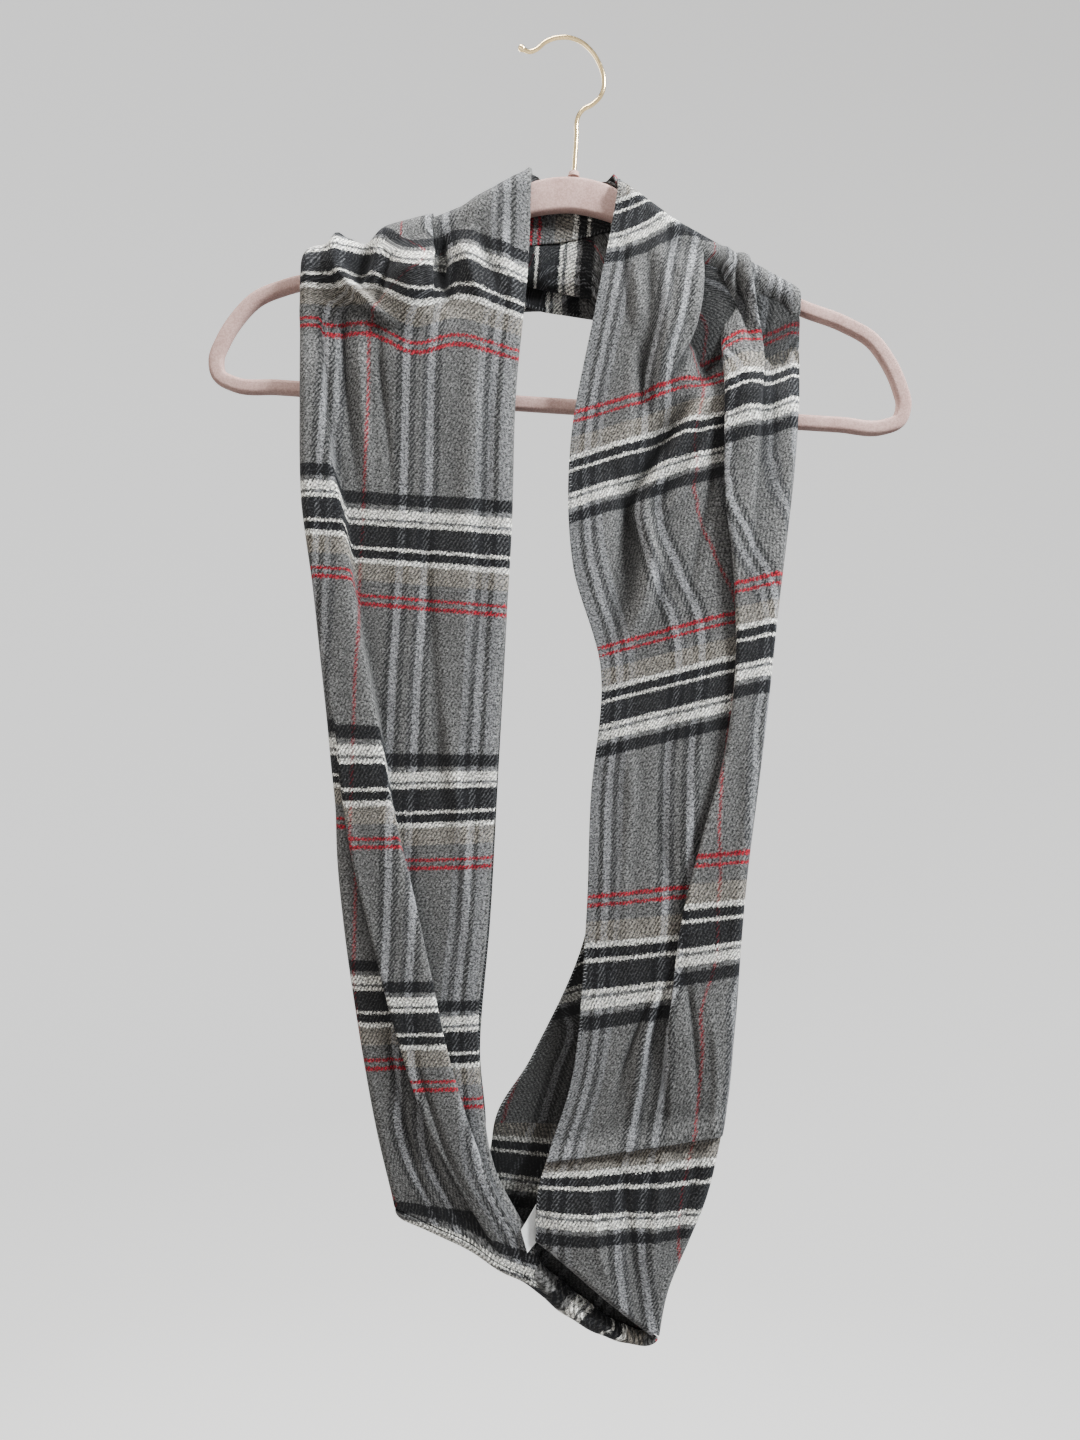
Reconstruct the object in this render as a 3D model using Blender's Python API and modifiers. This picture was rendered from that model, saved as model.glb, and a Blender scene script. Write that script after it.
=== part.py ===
"""Loop scarf hung over a flocked clothes hanger. Sizes in the tables are millimetres, the objects are in metres.

The origin is the inside top of the hook, +Z is up and the front faces -Y."""

import math

import bpy
import numpy as np

for item in list(bpy.data.objects):
    bpy.data.objects.remove(item)

# Cloth, in millimetres
WALL = 1.5
SEAM_WALL = 1.2
LABEL_WALL = 1.0
GAP = 0.3
LAYER_BACK = 2.5  # height of the back layer off the front of the hanger
RIDGE_BACK = 2.8  # the same on top of the arm
RIDGE_LIFT = 5.0  # how far the front lies off the back layer on top of the arm
RIDGE_ZONE = 75  # how far below the arm the layers open up again
FRONT_CLEAR = 3.2  # the least height of the front over the back layer
TUCK_CLEAR = 5.2  # the same with the tucked edge between them
TUCK_DEEP = 42
TUCK_LEAST = 4
TUCK_BEND = 1.8
TUCK_FROM = (700, 200)  # where the tuck starts along the scarf and how soon it is deep
TUCK_TO = (1440, 120)  # where it ends and how soon it fades
FOLD_REACH = 5  # how far the outer fold rounds out
HEM = 5.0
HEM_GAP = 0.9
HEM_INSIDE = 6  # how far the hem's edge runs up behind the front
HEM_LEAST = 0.15  # share of the hem that is left at the outer fold
HEM_LAST = 3.2  # length of the back layer's last rows
LEAN = 0.6
STEP_SLOPE = 1.3
SOFT_CORNER = 1.5
TURN_DEEP = 4  # depth of the rounding under the bottom turn

# Column and row counts
SECTION_POINTS = 320
LEG_STATIONS = 220
TAIL_STATIONS = 120
ANCHOR_GAP = 0.04  # share of the front left free between two folds
EDGE_GAP = 0.06
FADE_LENGTH = 60  # past the end of a fold its columns draw together over this length
FADE_SHARE = 0.6

# Hanger, in its own frame before it tips, in millimetres
HANGER_TIP = math.radians(3.8)
HANGER_CENTRE = 8.7
FRAME_DEPTH = 7.5
FRAME_ROUNDING = 2.6
WIRE_RADIUS = 1.4
ARM_LOWEST = -195
ARM_REACH = 185
COLLAR_FOOT = -88
COLLAR_TALL = 3.6
COLLAR_RADII = (3.8, 3.1)

MM = 0.001


def table(names, rows):
    """The columns of a short table, by name."""
    return {name: np.array(values, float) for name, values in zip(names.split(), zip(*rows))}


def curve(at, xs, ys):
    """Smooth line through the points of a table, straight past its ends."""
    slope = np.gradient(ys, xs)
    at = np.asarray(at, float)
    left = np.clip(np.searchsorted(xs, at) - 1, 0, len(xs) - 2)
    span = xs[left + 1] - xs[left]
    s = np.clip((at - xs[left]) / span, 0, 1)
    value = (1 + 2 * s) * (1 - s) ** 2 * ys[left] + s * (1 - s) ** 2 * span * slope[left]
    value += s**2 * (3 - 2 * s) * ys[left + 1] + s**2 * (s - 1) * span * slope[left + 1]
    past = at - np.clip(at, xs[0], xs[-1])
    return value + past * np.where(at < xs[0], slope[0], slope[-1])


def ease(t):
    t = np.clip(t, 0, 1)
    return t * t * (3 - 2 * t)


def at_least(value, floor):
    """Keeps a height above a floor, with a soft corner."""
    over = value - floor
    return floor + 0.5 * (over + np.sqrt(over * over + SOFT_CORNER))


# Lowest line of the cloth, where the front layers turn into the bottom roll
bottom = table(
    "x z",
    [
        (-110, -747),
        (-81, -759),
        (-61, -768),
        (-43, -780),
        (-28, -787),
        (-14, -798),
        (3, -811),
        (18, -819),
        (34, -825),
        (50, -828),
        (62, -826),
    ],
)

# Each row is a weft line of the cloth: u along the scarf from the cross seam, then where the line starts at the
# inner edge, where it meets the outer fold, where it ends on the back layer, and the height of the front layer
leg_names = "u x_in z_in x_out z_out x_back z_back n_in n_out swell"
right_rows = table(
    leg_names,
    [
        (-140, -13, -838, 54, -828, -80, -812, 17, 15, 2),
        (-100, -18, -802, 61, -792, -71, -778, 17, 13, 3),
        (-60, -21, -763, 74.5, -761, -59, -742, 16, 12, 4),
        (-20, -19.5, -725, 88.5, -723, -50, -706, 15, 12, 4),
        (0, -14.5, -708, 95, -692, -47.5, -689, 14, 12, 3),
        (62, 1.5, -657, 102.5, -620.5, -24, -648, 13, 12, 3),
        (146, 10, -562, 109.5, -534, 10, -570, 13, 12, 3),
        (230, 13, -484, 121, -443, 16, -490, 13, 12, 3),
        (314, 19.5, -405, 130, -360, 23, -408, 12, 12, 3),
        (398, 1.5, -335.5, 140, -275.5, 8, -338, 13, 12, 2),
        (482, 0.5, -261, 144.5, -198, 6, -262, 14, 12, 1),
        (566, 16.5, -174, 146, -120, 20, -176, 12, 11, 0),
        (650, 31, -96, 147, -45, 33, -98, 8, 9, 0),
        (740, 40, -10, 148, 40, 42, -12, 7, 7, 0),
    ],
)
left_rows = table(
    leg_names,
    [
        (640, -24, 24, -166, 34, -22, 24, 7, 6, 0),
        (734, -26, -68, -167, -56, -24, -68, 8, 7, 0),
        (818, -28.5, -150.5, -168, -137, -27, -150, 12, 9, 1),
        (902, -36, -231, -167, -208, -35, -231, 15, 11, 2),
        (986, -38.5, -314, -166, -290, -37, -313, 16, 10, 2),
        (1070, -43.5, -396, -158, -371, -41, -396, 15, 9, 2),
        (1154, -48.5, -478, -149.5, -454.5, -45.5, -478, 14, 9, 2),
        (1238, -53.5, -560, -144, -535, -50, -560, 13, 9, 2),
        (1322, -59.5, -638, -134, -613, -56.5, -640, 12, 9, 2),
        (1406, -46, -717, -120, -694, -53.5, -701, 12, 8, 1),
        (1462, -21, -775, -109, -743, -63, -744, 12, 8, 1),
        (1500, -20, -808, -103, -779, -71.5, -776, 12, 8, 1),
        (1550, -19, -860, -98, -830, -82, -822, 12, 8, 1),
    ],
)

# Each row is a fold, from the top down: its stations give x, z, the rise of the outer side or of the ridge, the lean
right_folds = [
    ("hollow", "ridge", 9, [(87, -90, -2, 0), (87, -134, -6, 0), (89, -165, -13, 0), (87, -198, -13, 0), (84, -232, 0, 0)]),
    ("valley", "ridge", 14, [(80, -215, 0, 0), (62, -250, -6, 0), (44, -290, -8, 0), (36, -340, -5, 0), (28, -400, 0, 0)]),
    ("crest", "ridge", 7, [(92, -212, 0, 0), (72, -255, 5, 0), (46, -300, 7, 0), (50, -340, 6, 0), (24, -415, 0, 0)]),
    (
        "pleat",
        "step",
        4,
        [
            (95, -118, 0, 0),
            (96, -150, 4, 1),
            (97, -236, 5, 5),
            (98, -298, 5, 6),
            (102, -342, 5, 4),
            (103, -403, 4, 3),
            (97, -453, 4, 3),
            (84, -503, 5, 5),
            (70, -560, 5, 5),
            (63, -608, 4, 3),
            (56, -664, 2, 1),
            (54, -700, 0, 0),
        ],
    ),
    (
        "roll side",
        "step",
        4,
        [
            (112, -120, 0, 0),
            (114, -150, -4, 2),
            (118, -181, -6, 4),
            (120, -206, -6, 4),
            (118, -240, -4, 1),
            (112, -320, -2, 0),
            (108, -380, 0, 0),
        ],
    ),
    ("roll crease", "ridge", 3, [(103, -130, 0, 0), (106, -152, -3, 0), (111, -172, -3, 0), (116, -200, 0, 0)]),
    ("curl", "step", 3, [(58, -90, 0, 0), (61, -110, -4, 2), (60, -135, -3, 1), (58, -165, 0, 0)]),
    ("soft crease", "ridge", 6, [(30, -100, 0, 0), (36, -160, -2, 0), (46, -230, -2, 0), (52, -265, 0, 0)]),
    ("low crease", "ridge", 4, [(66, -572, 0, 0), (52, -610, 3, 0), (43, -645, 3, 0), (38, -690, 1, 0), (36, -715, 0, 0)]),
    ("low pleat", "step", 3, [(66, -590, 0, 0), (62, -625, 2.5, 1.5), (61, -670, 2, 1), (62, -700, 0, 0)]),
]
tail_folds = [
    ("tail swell", "ridge", 22, [(0, -700, 0, 0), (4, -745, 3, 0), (20, -790, 2, 0), (40, -830, 0, 0)]),
]
left_folds = [
    ("shoulder roll", "step", 3.5, [(-86, -112, 3, 1), (-87, -143, 6, 4), (-87, -155, 6, 4), (-85, -172, 4, 2), (-88, -190, 0, 0)]),
    ("pocket", "ridge", 9, [(-128, -125, -2, 0), (-129, -146, -8, 0), (-130, -158, -8, 0), (-126, -172, 0, 0)]),
    ("curved crease", "ridge", 5, [(-150, -140, 3, 0), (-140, -161, 5, 0), (-125, -176, 3, 0), (-112, -186, 0, 0)]),
    (
        "long step",
        "step",
        7,
        [
            (-156, -172, 0, 0),
            (-154, -211, 3, 0),
            (-149, -261, 4, 1),
            (-140, -310, 5, 2),
            (-129, -385, 5, 2),
            (-119, -435, 5, 3),
            (-110, -490, 5, 4),
            (-97, -546, 6, 6),
            (-87, -596, 6, 8),
            (-78, -640, 6, 9),
            (-66, -680, 6, 8),
            (-50, -722, 4, 5),
            (-30, -765, 0, 0),
        ],
    ),
    (
        "light lip",
        "step",
        3,
        [
            (-148, -415, 0, 0),
            (-143, -470, -2, 1),
            (-136, -515, -3, 2),
            (-121, -574, -3, 3),
            (-107, -628, -4, 3),
            (-98, -658, -4, 3),
            (-84, -695, -4, 3),
            (-60, -741, -3, 2),
            (-44, -768, 0, 0),
        ],
    ),
]

# Where the legs meet the neck wrap, in millimetres
NECK_HALF = 18.0
NECK_BACK = 15.0
NECK_STACK = 6.5
NECK_TOP = -84
NECK_TALL = 79
NECK_SAG = 5
NECK_BULGE = 1.2

# How a column swings in behind the neck: its last share of the half turn, the pull at both ends and where it blends
SWING_LEAST = 0.6
SWING_ZONE = 0.25
SWING_PULL = 0.9
SWING_START = 0.75
SWING_DRIFT = 0.3
SWING_BACK = 0.9
SWING_BLEND = 0.7
SMALL_STEP = 0.02

# Layers of the folded stretch behind the neck, front to back
FLAP_Y = 5.9
INNER_Y = 8.2
WAIST_Y = 7.2
ROLL_Y = 7.4
ROLL_BACK_Y = 10.4
STRIP_Y = 12.6
STRIP_DROP = 16

# Hanger frame, right half from the middle of the arch round to the middle of the bar
frame_half = table(
    "x z width",
    [
        (0, -99, 22),
        (16, -101, 21.6),
        (31, -106, 19),
        (46, -113, 14.5),
        (60, -119.5, 11),
        (80, -128.6, 9.6),
        (100, -138, 9.4),
        (125, -149.6, 9.4),
        (150, -161, 9.4),
        (178, -169.5, 9.4),
        (197, -179, 9.4),
        (208.5, -192.5, 9.4),
        (216.5, -207.5, 9.4),
        (219.9, -219, 9.4),
        (217.3, -229, 9.4),
        (207.5, -233.8, 9.4),
        (180, -234, 9.4),
        (90, -234, 9.4),
        (0, -234, 9.4),
    ],
)


def tipped(x, z):
    """From the hanger's own frame to the frame of the part, tipped about the origin."""
    x = x + HANGER_CENTRE
    return (
        x * math.cos(HANGER_TIP) + z * math.sin(HANGER_TIP),
        -x * math.sin(HANGER_TIP) + z * math.cos(HANGER_TIP),
    )


def frame_ring():
    """Rings of the frame: a rounded section swept along its middle line."""
    xs = np.concatenate([frame_half["x"], -frame_half["x"][-2:0:-1]])
    zs = np.concatenate([frame_half["z"], frame_half["z"][-2:0:-1]])
    widths = np.concatenate([frame_half["width"], frame_half["width"][-2:0:-1]])
    wrap = [np.concatenate([values[-3:], values, values[:4]]) for values in (xs, zs, widths)]
    run = np.concatenate([[0], np.cumsum(np.hypot(np.diff(wrap[0]), np.diff(wrap[1])))])
    at = []
    for k in range(3, 3 + len(xs)):
        straight = max(wrap[1][k], wrap[1][k + 1]) <= frame_half["z"].min()
        parts = 1 if straight else 2
        at += [run[k] + (run[k + 1] - run[k]) * i / parts for i in range(parts)]
    at = np.array(at)
    x, z, width = [curve(at, run, values) for values in wrap]
    ahead = [curve(at + 0.5, run, values) - curve(at - 0.5, run, values) for values in wrap[:2]]
    norm = np.hypot(*ahead)
    nx, nz = ahead[1] / norm, -ahead[0] / norm
    corners = []
    for cx, cy, first in ((1, 1, 0), (-1, 1, 90), (-1, -1, 180), (1, -1, 270)):
        for turn in (0, 45, 90):
            corners.append((cx, cy, math.radians(first + turn)))
    points = np.zeros((len(at), len(corners), 3))
    for j, (cx, cy, turn) in enumerate(corners):
        w = cx * (width / 2 - FRAME_ROUNDING) + FRAME_ROUNDING * math.cos(turn)
        px, pz = tipped(x + nx * w, z + nz * w)
        y = cy * (FRAME_DEPTH / 2 - FRAME_ROUNDING) + FRAME_ROUNDING * math.sin(turn)
        points[:, j] = np.stack([px, np.full_like(px, y), pz], axis=1)
    return points


frame_points = frame_ring()
ring_tops = frame_points[np.arange(len(frame_points)), frame_points[:, :, 2].argmax(axis=1)]
ring_tops = ring_tops[ring_tops[:, 2] > ARM_LOWEST]
ring_tops = ring_tops[ring_tops[:, 0].argsort()]
arm_x = np.arange(-ARM_REACH, ARM_REACH + 1, 5.0)
arm_z = np.interp(arm_x, ring_tops[:, 0], ring_tops[:, 2])


def arm_centre(x):
    """Middle of the arm's rounded top, which the cloth goes round."""
    return curve(x, arm_x, arm_z) - FRAME_DEPTH / 2


def fold_shape(folds, side, x, z):
    """How far the folds lift the front layer and push it sideways."""
    rise = np.zeros_like(x)
    push = np.zeros_like(x)
    for _, kind, width, stations in folds:
        fold = table("x z rise lean", stations[::-1])
        s = side * (x - curve(np.clip(z, fold["z"][0], fold["z"][-1]), fold["z"], fold["x"])) / width
        height = np.interp(z, fold["z"], fold["rise"])
        if kind == "ridge":
            rise += height * np.exp(-s * s)
        else:
            rise += height * 0.5 * (1 + np.tanh(STEP_SLOPE * s))
            push -= side * LEAN * np.interp(z, fold["z"], fold["lean"]) * s * np.exp(0.5 - 0.5 * s * s)
    return rise, push


def front_places(anchors, row, z_mid, end):
    """Shares of the front where columns run: close together across each named fold, even between them."""
    across = row["x_out"] - row["x_in"]
    middles, widths = [], []
    for fold, _, reach in anchors:
        path = table("x z rise lean", fold[3][::-1])
        z = np.clip(z_mid, path["z"][0], path["z"][-1])
        faded = 1 - FADE_SHARE * ease(abs(z_mid - z) / FADE_LENGTH)
        widths.append(fold[2] * reach * faded / abs(across))
        middles.append(float((curve(z, path["z"], path["x"]) - row["x_in"]) / across))
    last = len(anchors) - 1
    for k in range(last, -1, -1):
        high = end - EDGE_GAP if k == last else middles[k + 1] - widths[k + 1] - ANCHOR_GAP
        high = high - widths[k]
        low = ANCHOR_GAP * (k + 1) + 2 * sum(widths[:k]) + widths[k]
        middles[k] = min(max(middles[k], low), high)
    places = [0.0]
    for middle, width, (_, before, _) in zip(middles, widths, anchors):
        places += list(np.linspace(places[-1], middle - width, before + 1)[1:])
        places += [middle - width * 0.5, middle, middle + width * 0.5, middle + width]
    return places


def weft_section(rows, folds, side, u, counts, tuck):
    """One weft line as x, z and height n, from the inner edge over the front, the outer fold and the back layer."""
    row = {name: float(curve(u, rows["u"], rows[name])) for name in rows}
    length = math.hypot(row["x_out"] - row["x_in"], row["z_out"] - row["z_in"])
    f = np.linspace(0, 1 - FOLD_REACH / length, SECTION_POINTS)
    x = row["x_in"] + (row["x_out"] - row["x_in"]) * f
    z = row["z_in"] + (row["z_out"] - row["z_in"]) * f
    away = ease((arm_centre(x) - z) / RIDGE_ZONE)
    back = RIDGE_BACK + (LAYER_BACK - RIDGE_BACK) * away
    n = row["n_in"] + (row["n_out"] - row["n_in"]) * f + row["swell"] * 4 * f * (1 - f)
    rise, push = fold_shape(folds, side, x, z)
    low = back + RIDGE_LIFT
    n = at_least(low + (n - low) * away + rise, back + (TUCK_CLEAR if tuck else FRONT_CLEAR))
    x = x + push
    places = front_places(counts["anchors"], row, (row["z_in"] + row["z_out"]) / 2, f[-1])
    places += list(np.linspace(places[-1], f[-1], counts["last"] + 1)[1:])
    parts = [[np.interp(places, f, values) for values in (x, z, n)]]
    if tuck:
        under = back[0] + (n[0] - back[0]) * 0.5
        half = (n[0] - under) / 2
        turn = np.linspace(-math.pi / 2, math.pi / 2, counts["fold"] + 2)[1:-1]
        bend_x = x[0] - side * TUCK_BEND * np.cos(turn)
        bend = [bend_x, np.full_like(turn, z[0]), (n[0] + under) / 2 + half * np.sin(turn)]
        deep = ease((TUCK_TO[0] - u) / TUCK_TO[1]) * ease((u - TUCK_FROM[0]) / TUCK_FROM[1])
        reach = (TUCK_LEAST + (tuck - TUCK_LEAST) * deep) * np.linspace(1, 0, counts["tuck"])
        slope = (row["z_out"] - row["z_in"]) / length
        flat = [x[0] + side * reach, z[0] + slope * reach, np.full_like(reach, under)]
        parts = [flat, bend, *parts]
    turn = np.linspace(math.pi / 2, -math.pi / 2, counts["fold"] + 2)[1:-1]
    middle, half = (n[-1] + back[-1]) / 2, (n[-1] - back[-1]) / 2
    parts.append([x[-1] + side * FOLD_REACH * np.cos(turn), np.full_like(turn, z[-1]), middle + half * np.sin(turn)])
    f = np.linspace(0, 1, counts["back"]) ** 0.65
    bx = x[-1] + (row["x_back"] - x[-1]) * f
    bz = z[-1] + (row["z_back"] - z[-1]) * f
    away = ease((arm_centre(bx) - bz) / RIDGE_ZONE)
    parts.append([bx, bz, RIDGE_BACK + (LAYER_BACK - RIDGE_BACK) * away])
    return np.concatenate([np.array(part) for part in parts], axis=1)


def crossing(stations, gap, last):
    """The station where a column crosses a line, the last or the first time."""
    hit = np.nonzero(np.diff(np.sign(gap)) != 0)[0]
    k = hit[-1] if last else hit[0]
    return stations[k] + (stations[k + 1] - stations[k]) * gap[k] / (gap[k] - gap[k + 1])


def turn_over(share):
    """How far round the arm a column goes before it swings in: half a turn, less close to the neck."""
    return math.pi * (SWING_LEAST + (1 - SWING_LEAST) * float(ease(share / SWING_ZONE)))


def to_neck(inner, outer, side, share, t):
    """The back layer behind the arm, on its way in to stand behind the hanger's neck."""
    x = inner + (outer - inner) * share
    radius = FRAME_DEPTH / 2 + RIDGE_BACK
    last_turn = turn_over(share)
    start = np.array([x, -radius * math.cos(last_turn), float(arm_centre(x)) + radius * math.sin(last_turn)])
    end = np.array([side * NECK_HALF, NECK_BACK, NECK_TOP - NECK_TALL * share])
    pull = SWING_PULL * math.hypot(end[0] - start[0], end[2] - start[2])
    away = np.array([-SWING_DRIFT * side, 0.0, math.cos(last_turn)]) * pull * SWING_START
    inward = np.array([-side, 0.0, 0.0]) * pull
    place = (1 + 2 * t) * (1 - t) ** 2 * start + t * (1 - t) ** 2 * away
    place = place + t**2 * (3 - 2 * t) * end + t**2 * (t - 1) * inward
    place[1] = start[1] + (NECK_BACK - start[1]) * float(ease(t / SWING_BACK))
    return place


def behind_neck(inner, outer, side, share, height, full, t):
    """A point of any layer behind the arm: off the back layer by its height, less and less towards the neck."""
    place = to_neck(inner, outer, side, share, t)
    step = SMALL_STEP
    across = to_neck(inner, outer, side, share + step, t) - to_neck(inner, outer, side, share - step, t)
    along = to_neck(inner, outer, side, share, t + step) - to_neck(inner, outer, side, share, t - step)
    outward = side * np.cross(across, along)
    outward = outward / np.linalg.norm(outward)
    last_turn = turn_over(share)
    radial = np.array([0, -math.cos(last_turn), math.sin(last_turn)])
    blend = float(ease(t / SWING_BLEND))
    outward = radial * (1 - blend) + outward * blend
    thin = float(ease(t))
    return place + outward / np.linalg.norm(outward) * height * (1 - thin + thin * NECK_STACK / full)


def leg_grid(rows, folds, side, counts, tuck, lower):
    """A leg as a grid of points, from its lower line up the front, round the arm and on to the neck."""
    stations = np.linspace(rows["u"][0], rows["u"][-1], LEG_STATIONS)
    sections = np.array([weft_section(rows, folds, side, u, counts, tuck) for u in stations])
    columns = sections.shape[2]
    first = counts["tuck"] + counts["fold"] if tuck else 0
    last = columns - 1 - counts["back"] - counts["fold"]
    points = np.zeros((counts["rows"] + counts["over"] + counts["behind"], columns, 3))
    ridge = []
    for x, z, n in sections.transpose(2, 1, 0):
        u = crossing(stations, z - arm_centre(x), side > 0)
        ridge.append((u, np.interp(u, stations, x), np.interp(u, stations, n)))
    ridge = np.array(ridge)
    inner, outer = ridge[first, 1], ridge[last, 1]
    shares = (ridge[:, 1] - inner) / (outer - inner)
    for c in range(columns):
        x, z, n = sections[:, 0, c], sections[:, 1, c], sections[:, 2, c]
        bottom_u = lower(stations, x, z)
        ridge_u, ridge_x, ridge_n = ridge[c]
        for r in range(counts["rows"]):
            u = bottom_u + (ridge_u - bottom_u) * counts["pace"](r / counts["rows"])
            px, pz, pn = [np.interp(u, stations, values) for values in (x, z, n)]
            points[r, c] = (px, -FRAME_DEPTH / 2 - pn, pz)
        radius = FRAME_DEPTH / 2 + ridge_n
        centre = float(arm_centre(ridge_x))
        for r in range(counts["over"]):
            turn = turn_over(shares[c]) * r / counts["over"]
            points[counts["rows"] + r, c] = (ridge_x, -radius * math.cos(turn), centre + radius * math.sin(turn))
        height = ridge_n - RIDGE_BACK
        full = ridge[min(max(c, first), last), 2] - RIDGE_BACK
        for r in range(counts["behind"]):
            t = r / (counts["behind"] - 1)
            place = behind_neck(inner, outer, side, shares[c], height, full, t)
            points[counts["rows"] + counts["over"] + r, c] = place
    return points


def tail_grid(counts):
    """Below the cross seam: the front turns in at a slanting hem, the back layer runs down to the bottom roll."""
    stations = np.linspace(right_rows["u"][0], 0, TAIL_STATIONS)
    sections = np.array([weft_section(right_rows, tail_folds, 1, u, counts, 0) for u in stations])
    columns = sections.shape[2]
    last = columns - 1 - counts["back"] - counts["fold"]
    total = counts["rows"] + counts["turn"]
    points = np.zeros((total, columns, 3))
    for c in range(columns):
        x, z, n = sections[:, 0, c], sections[:, 1, c], sections[:, 2, c]
        start = -GAP / 2
        if c <= last:
            hem = curve(x, tail_hem["x"], tail_hem["z"])
            stop = crossing(stations, z - hem - HEM, True)
            share = 1 - (c / last) ** 2
            turn_length = (math.pi * HEM + HEM_INSIDE) * (HEM_LEAST + (1 - HEM_LEAST) * share)
            for r in range(total):
                t = min(r / (counts["rows"] - 1), 1)
                px, pz, pn = [np.interp(start + (stop - start) * t, stations, values) for values in (x, z, n)]
                turned = max(0, r - counts["rows"] + 1) / counts["turn"] * turn_length
                turn = min(turned / HEM, math.pi)
                pz = pz - HEM * math.sin(turn) + max(0, turned - math.pi * HEM)
                pn = pn - HEM * (1 - math.cos(turn))
                points[r, c] = (px, -FRAME_DEPTH / 2 - pn, pz)
            continue
        low = curve(x, bottom["x"], bottom["z"]) + HEM + HEM_GAP
        past = min((c - last) / (counts["fold"] + 1), 1)
        if past < 1:
            hem = curve(x, tail_hem["x"], tail_hem["z"])
            low = low * past + (hem + HEM) * (1 - past)
        stop = crossing(stations, z - low, True)
        shorter = stop + HEM_LAST
        for r in range(total):
            u = start + (shorter - start) * min(r / (counts["rows"] - 1), 1)
            u += (stop - shorter) * max(0, r - counts["rows"] + 1) / counts["turn"]
            px, pz, pn = [np.interp(u, stations, values) for values in (x, z, n)]
            points[r, c] = (px, -FRAME_DEPTH / 2 - pn, pz)
    return points


def roll_grid(stations, curled):
    """The bottom turn: a trough under the left leg, then a rolled lip on its way to the tip."""
    points = []
    for x in stations:
        low = float(curve(x, bottom["x"], bottom["z"]))
        n_front = float(curve(x, roll_rows["x"], roll_rows["n_front"]))
        top = float(curve(x, roll_rows["x"], roll_rows["lip"]))
        n, z = [n_front], [low + HEM]
        if curled:
            curl = min(curl_settings["radius"], (n_front - LAYER_BACK) / 2 - 1)
            turn = np.linspace(-0.5, 0.5, 5) * math.pi
            n = list(n_front - curl * (1 - np.sin(turn))) + [n_front]
            z = list(low + top - curl * (1 - np.cos(turn))) + [low + top * curl_settings["from"]]
        turn = np.linspace(0, math.pi, 8)
        n += list((n_front + LAYER_BACK) / 2 + (n_front - LAYER_BACK) / 2 * np.cos(turn)) + [LAYER_BACK]
        z += list(low + TURN_DEEP - TURN_DEEP * np.sin(turn)) + [low + HEM]
        points.append(np.stack([np.full(len(n), x), -FRAME_DEPTH / 2 - np.array(n), np.array(z)], axis=1))
    return np.array(points)


def fold_back(near, far, z, rise):
    """Points of the bend from one hanging layer to the next, over the top or, with a negative rise, below."""
    turn = np.linspace(0, math.pi, 5)[1:-1]
    return [((near + far) / 2 - (far - near) / 2 * math.cos(t), z + rise * math.sin(t)) for t in turn]


def neck_fold_grid(stations):
    """Folded stretch behind the neck: hanging edge, top fold, forward roll and the strip under it."""
    points = []
    for x in stations:
        _, top, flap, roll, strip = [float(curve(x, neck_rows["x"], neck_rows[name])) for name in neck_rows]
        line = [(FLAP_Y, flap), (FLAP_Y, flap * 0.6 + top * 0.4), (FLAP_Y, top)]
        line += fold_back(FLAP_Y, INNER_Y, top, (INNER_Y - FLAP_Y) / 2)
        line += [(INNER_Y, top), (INNER_Y, flap + 4), (WAIST_Y, (flap + roll) / 2), (ROLL_Y, roll + 3)]
        line += fold_back(ROLL_Y, ROLL_BACK_Y, roll + 2, -2)
        line += [(ROLL_BACK_Y, roll + 3), (ROLL_BACK_Y, flap - 2), (ROLL_BACK_Y, top - STRIP_DROP)]
        line += fold_back(ROLL_BACK_Y, STRIP_Y, top - STRIP_DROP, (STRIP_Y - ROLL_BACK_Y) / 2)
        line += [(STRIP_Y, top - STRIP_DROP), (STRIP_Y, flap - 2), (STRIP_Y, roll), (STRIP_Y, strip)]
        points.append([(x, y, z) for y, z in line])
    return np.array(points)


def sheet(name, points, material, wall=WALL):
    """A cloth wall on a grid of points."""
    rows, columns = points.shape[:2]
    faces = []
    for r in range(rows - 1):
        for c in range(columns - 1):
            faces.append((r * columns + c, r * columns + c + 1, (r + 1) * columns + c + 1, (r + 1) * columns + c))
    piece = body(name, points, faces, material)
    thick = piece.modifiers.new("wall", "SOLIDIFY")
    thick.thickness = wall * MM
    thick.offset = 0
    thick.use_quality_normals = True
    return piece


def body(name, points, faces, material):
    mesh = bpy.data.meshes.new(name)
    mesh.from_pydata((points.reshape(-1, 3) * MM).tolist(), [], faces)
    mesh.materials.append(material)
    piece = bpy.data.objects.new(name, mesh)
    bpy.context.scene.collection.objects.link(piece)
    return piece


def ring_body(name, points, material):
    rings, sides = points.shape[:2]
    faces = []
    for i in range(rings):
        for j in range(sides):
            a, b = i * sides + j, i * sides + (j + 1) % sides
            c, d = ((i + 1) % rings) * sides + (j + 1) % sides, ((i + 1) % rings) * sides + j
            faces.append((a, b, c, d))
    return body(name, points, faces, material)


def plain(name, colour, rough, metal=0.0):
    material = bpy.data.materials.new(name)
    material.use_nodes = True
    shader = material.node_tree.nodes["Principled BSDF"]
    shader.inputs["Base Color"].default_value = (*colour, 1)
    shader.inputs["Roughness"].default_value = rough
    shader.inputs["Metallic"].default_value = metal
    material.diffuse_color = (*colour, 1)
    return material


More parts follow.
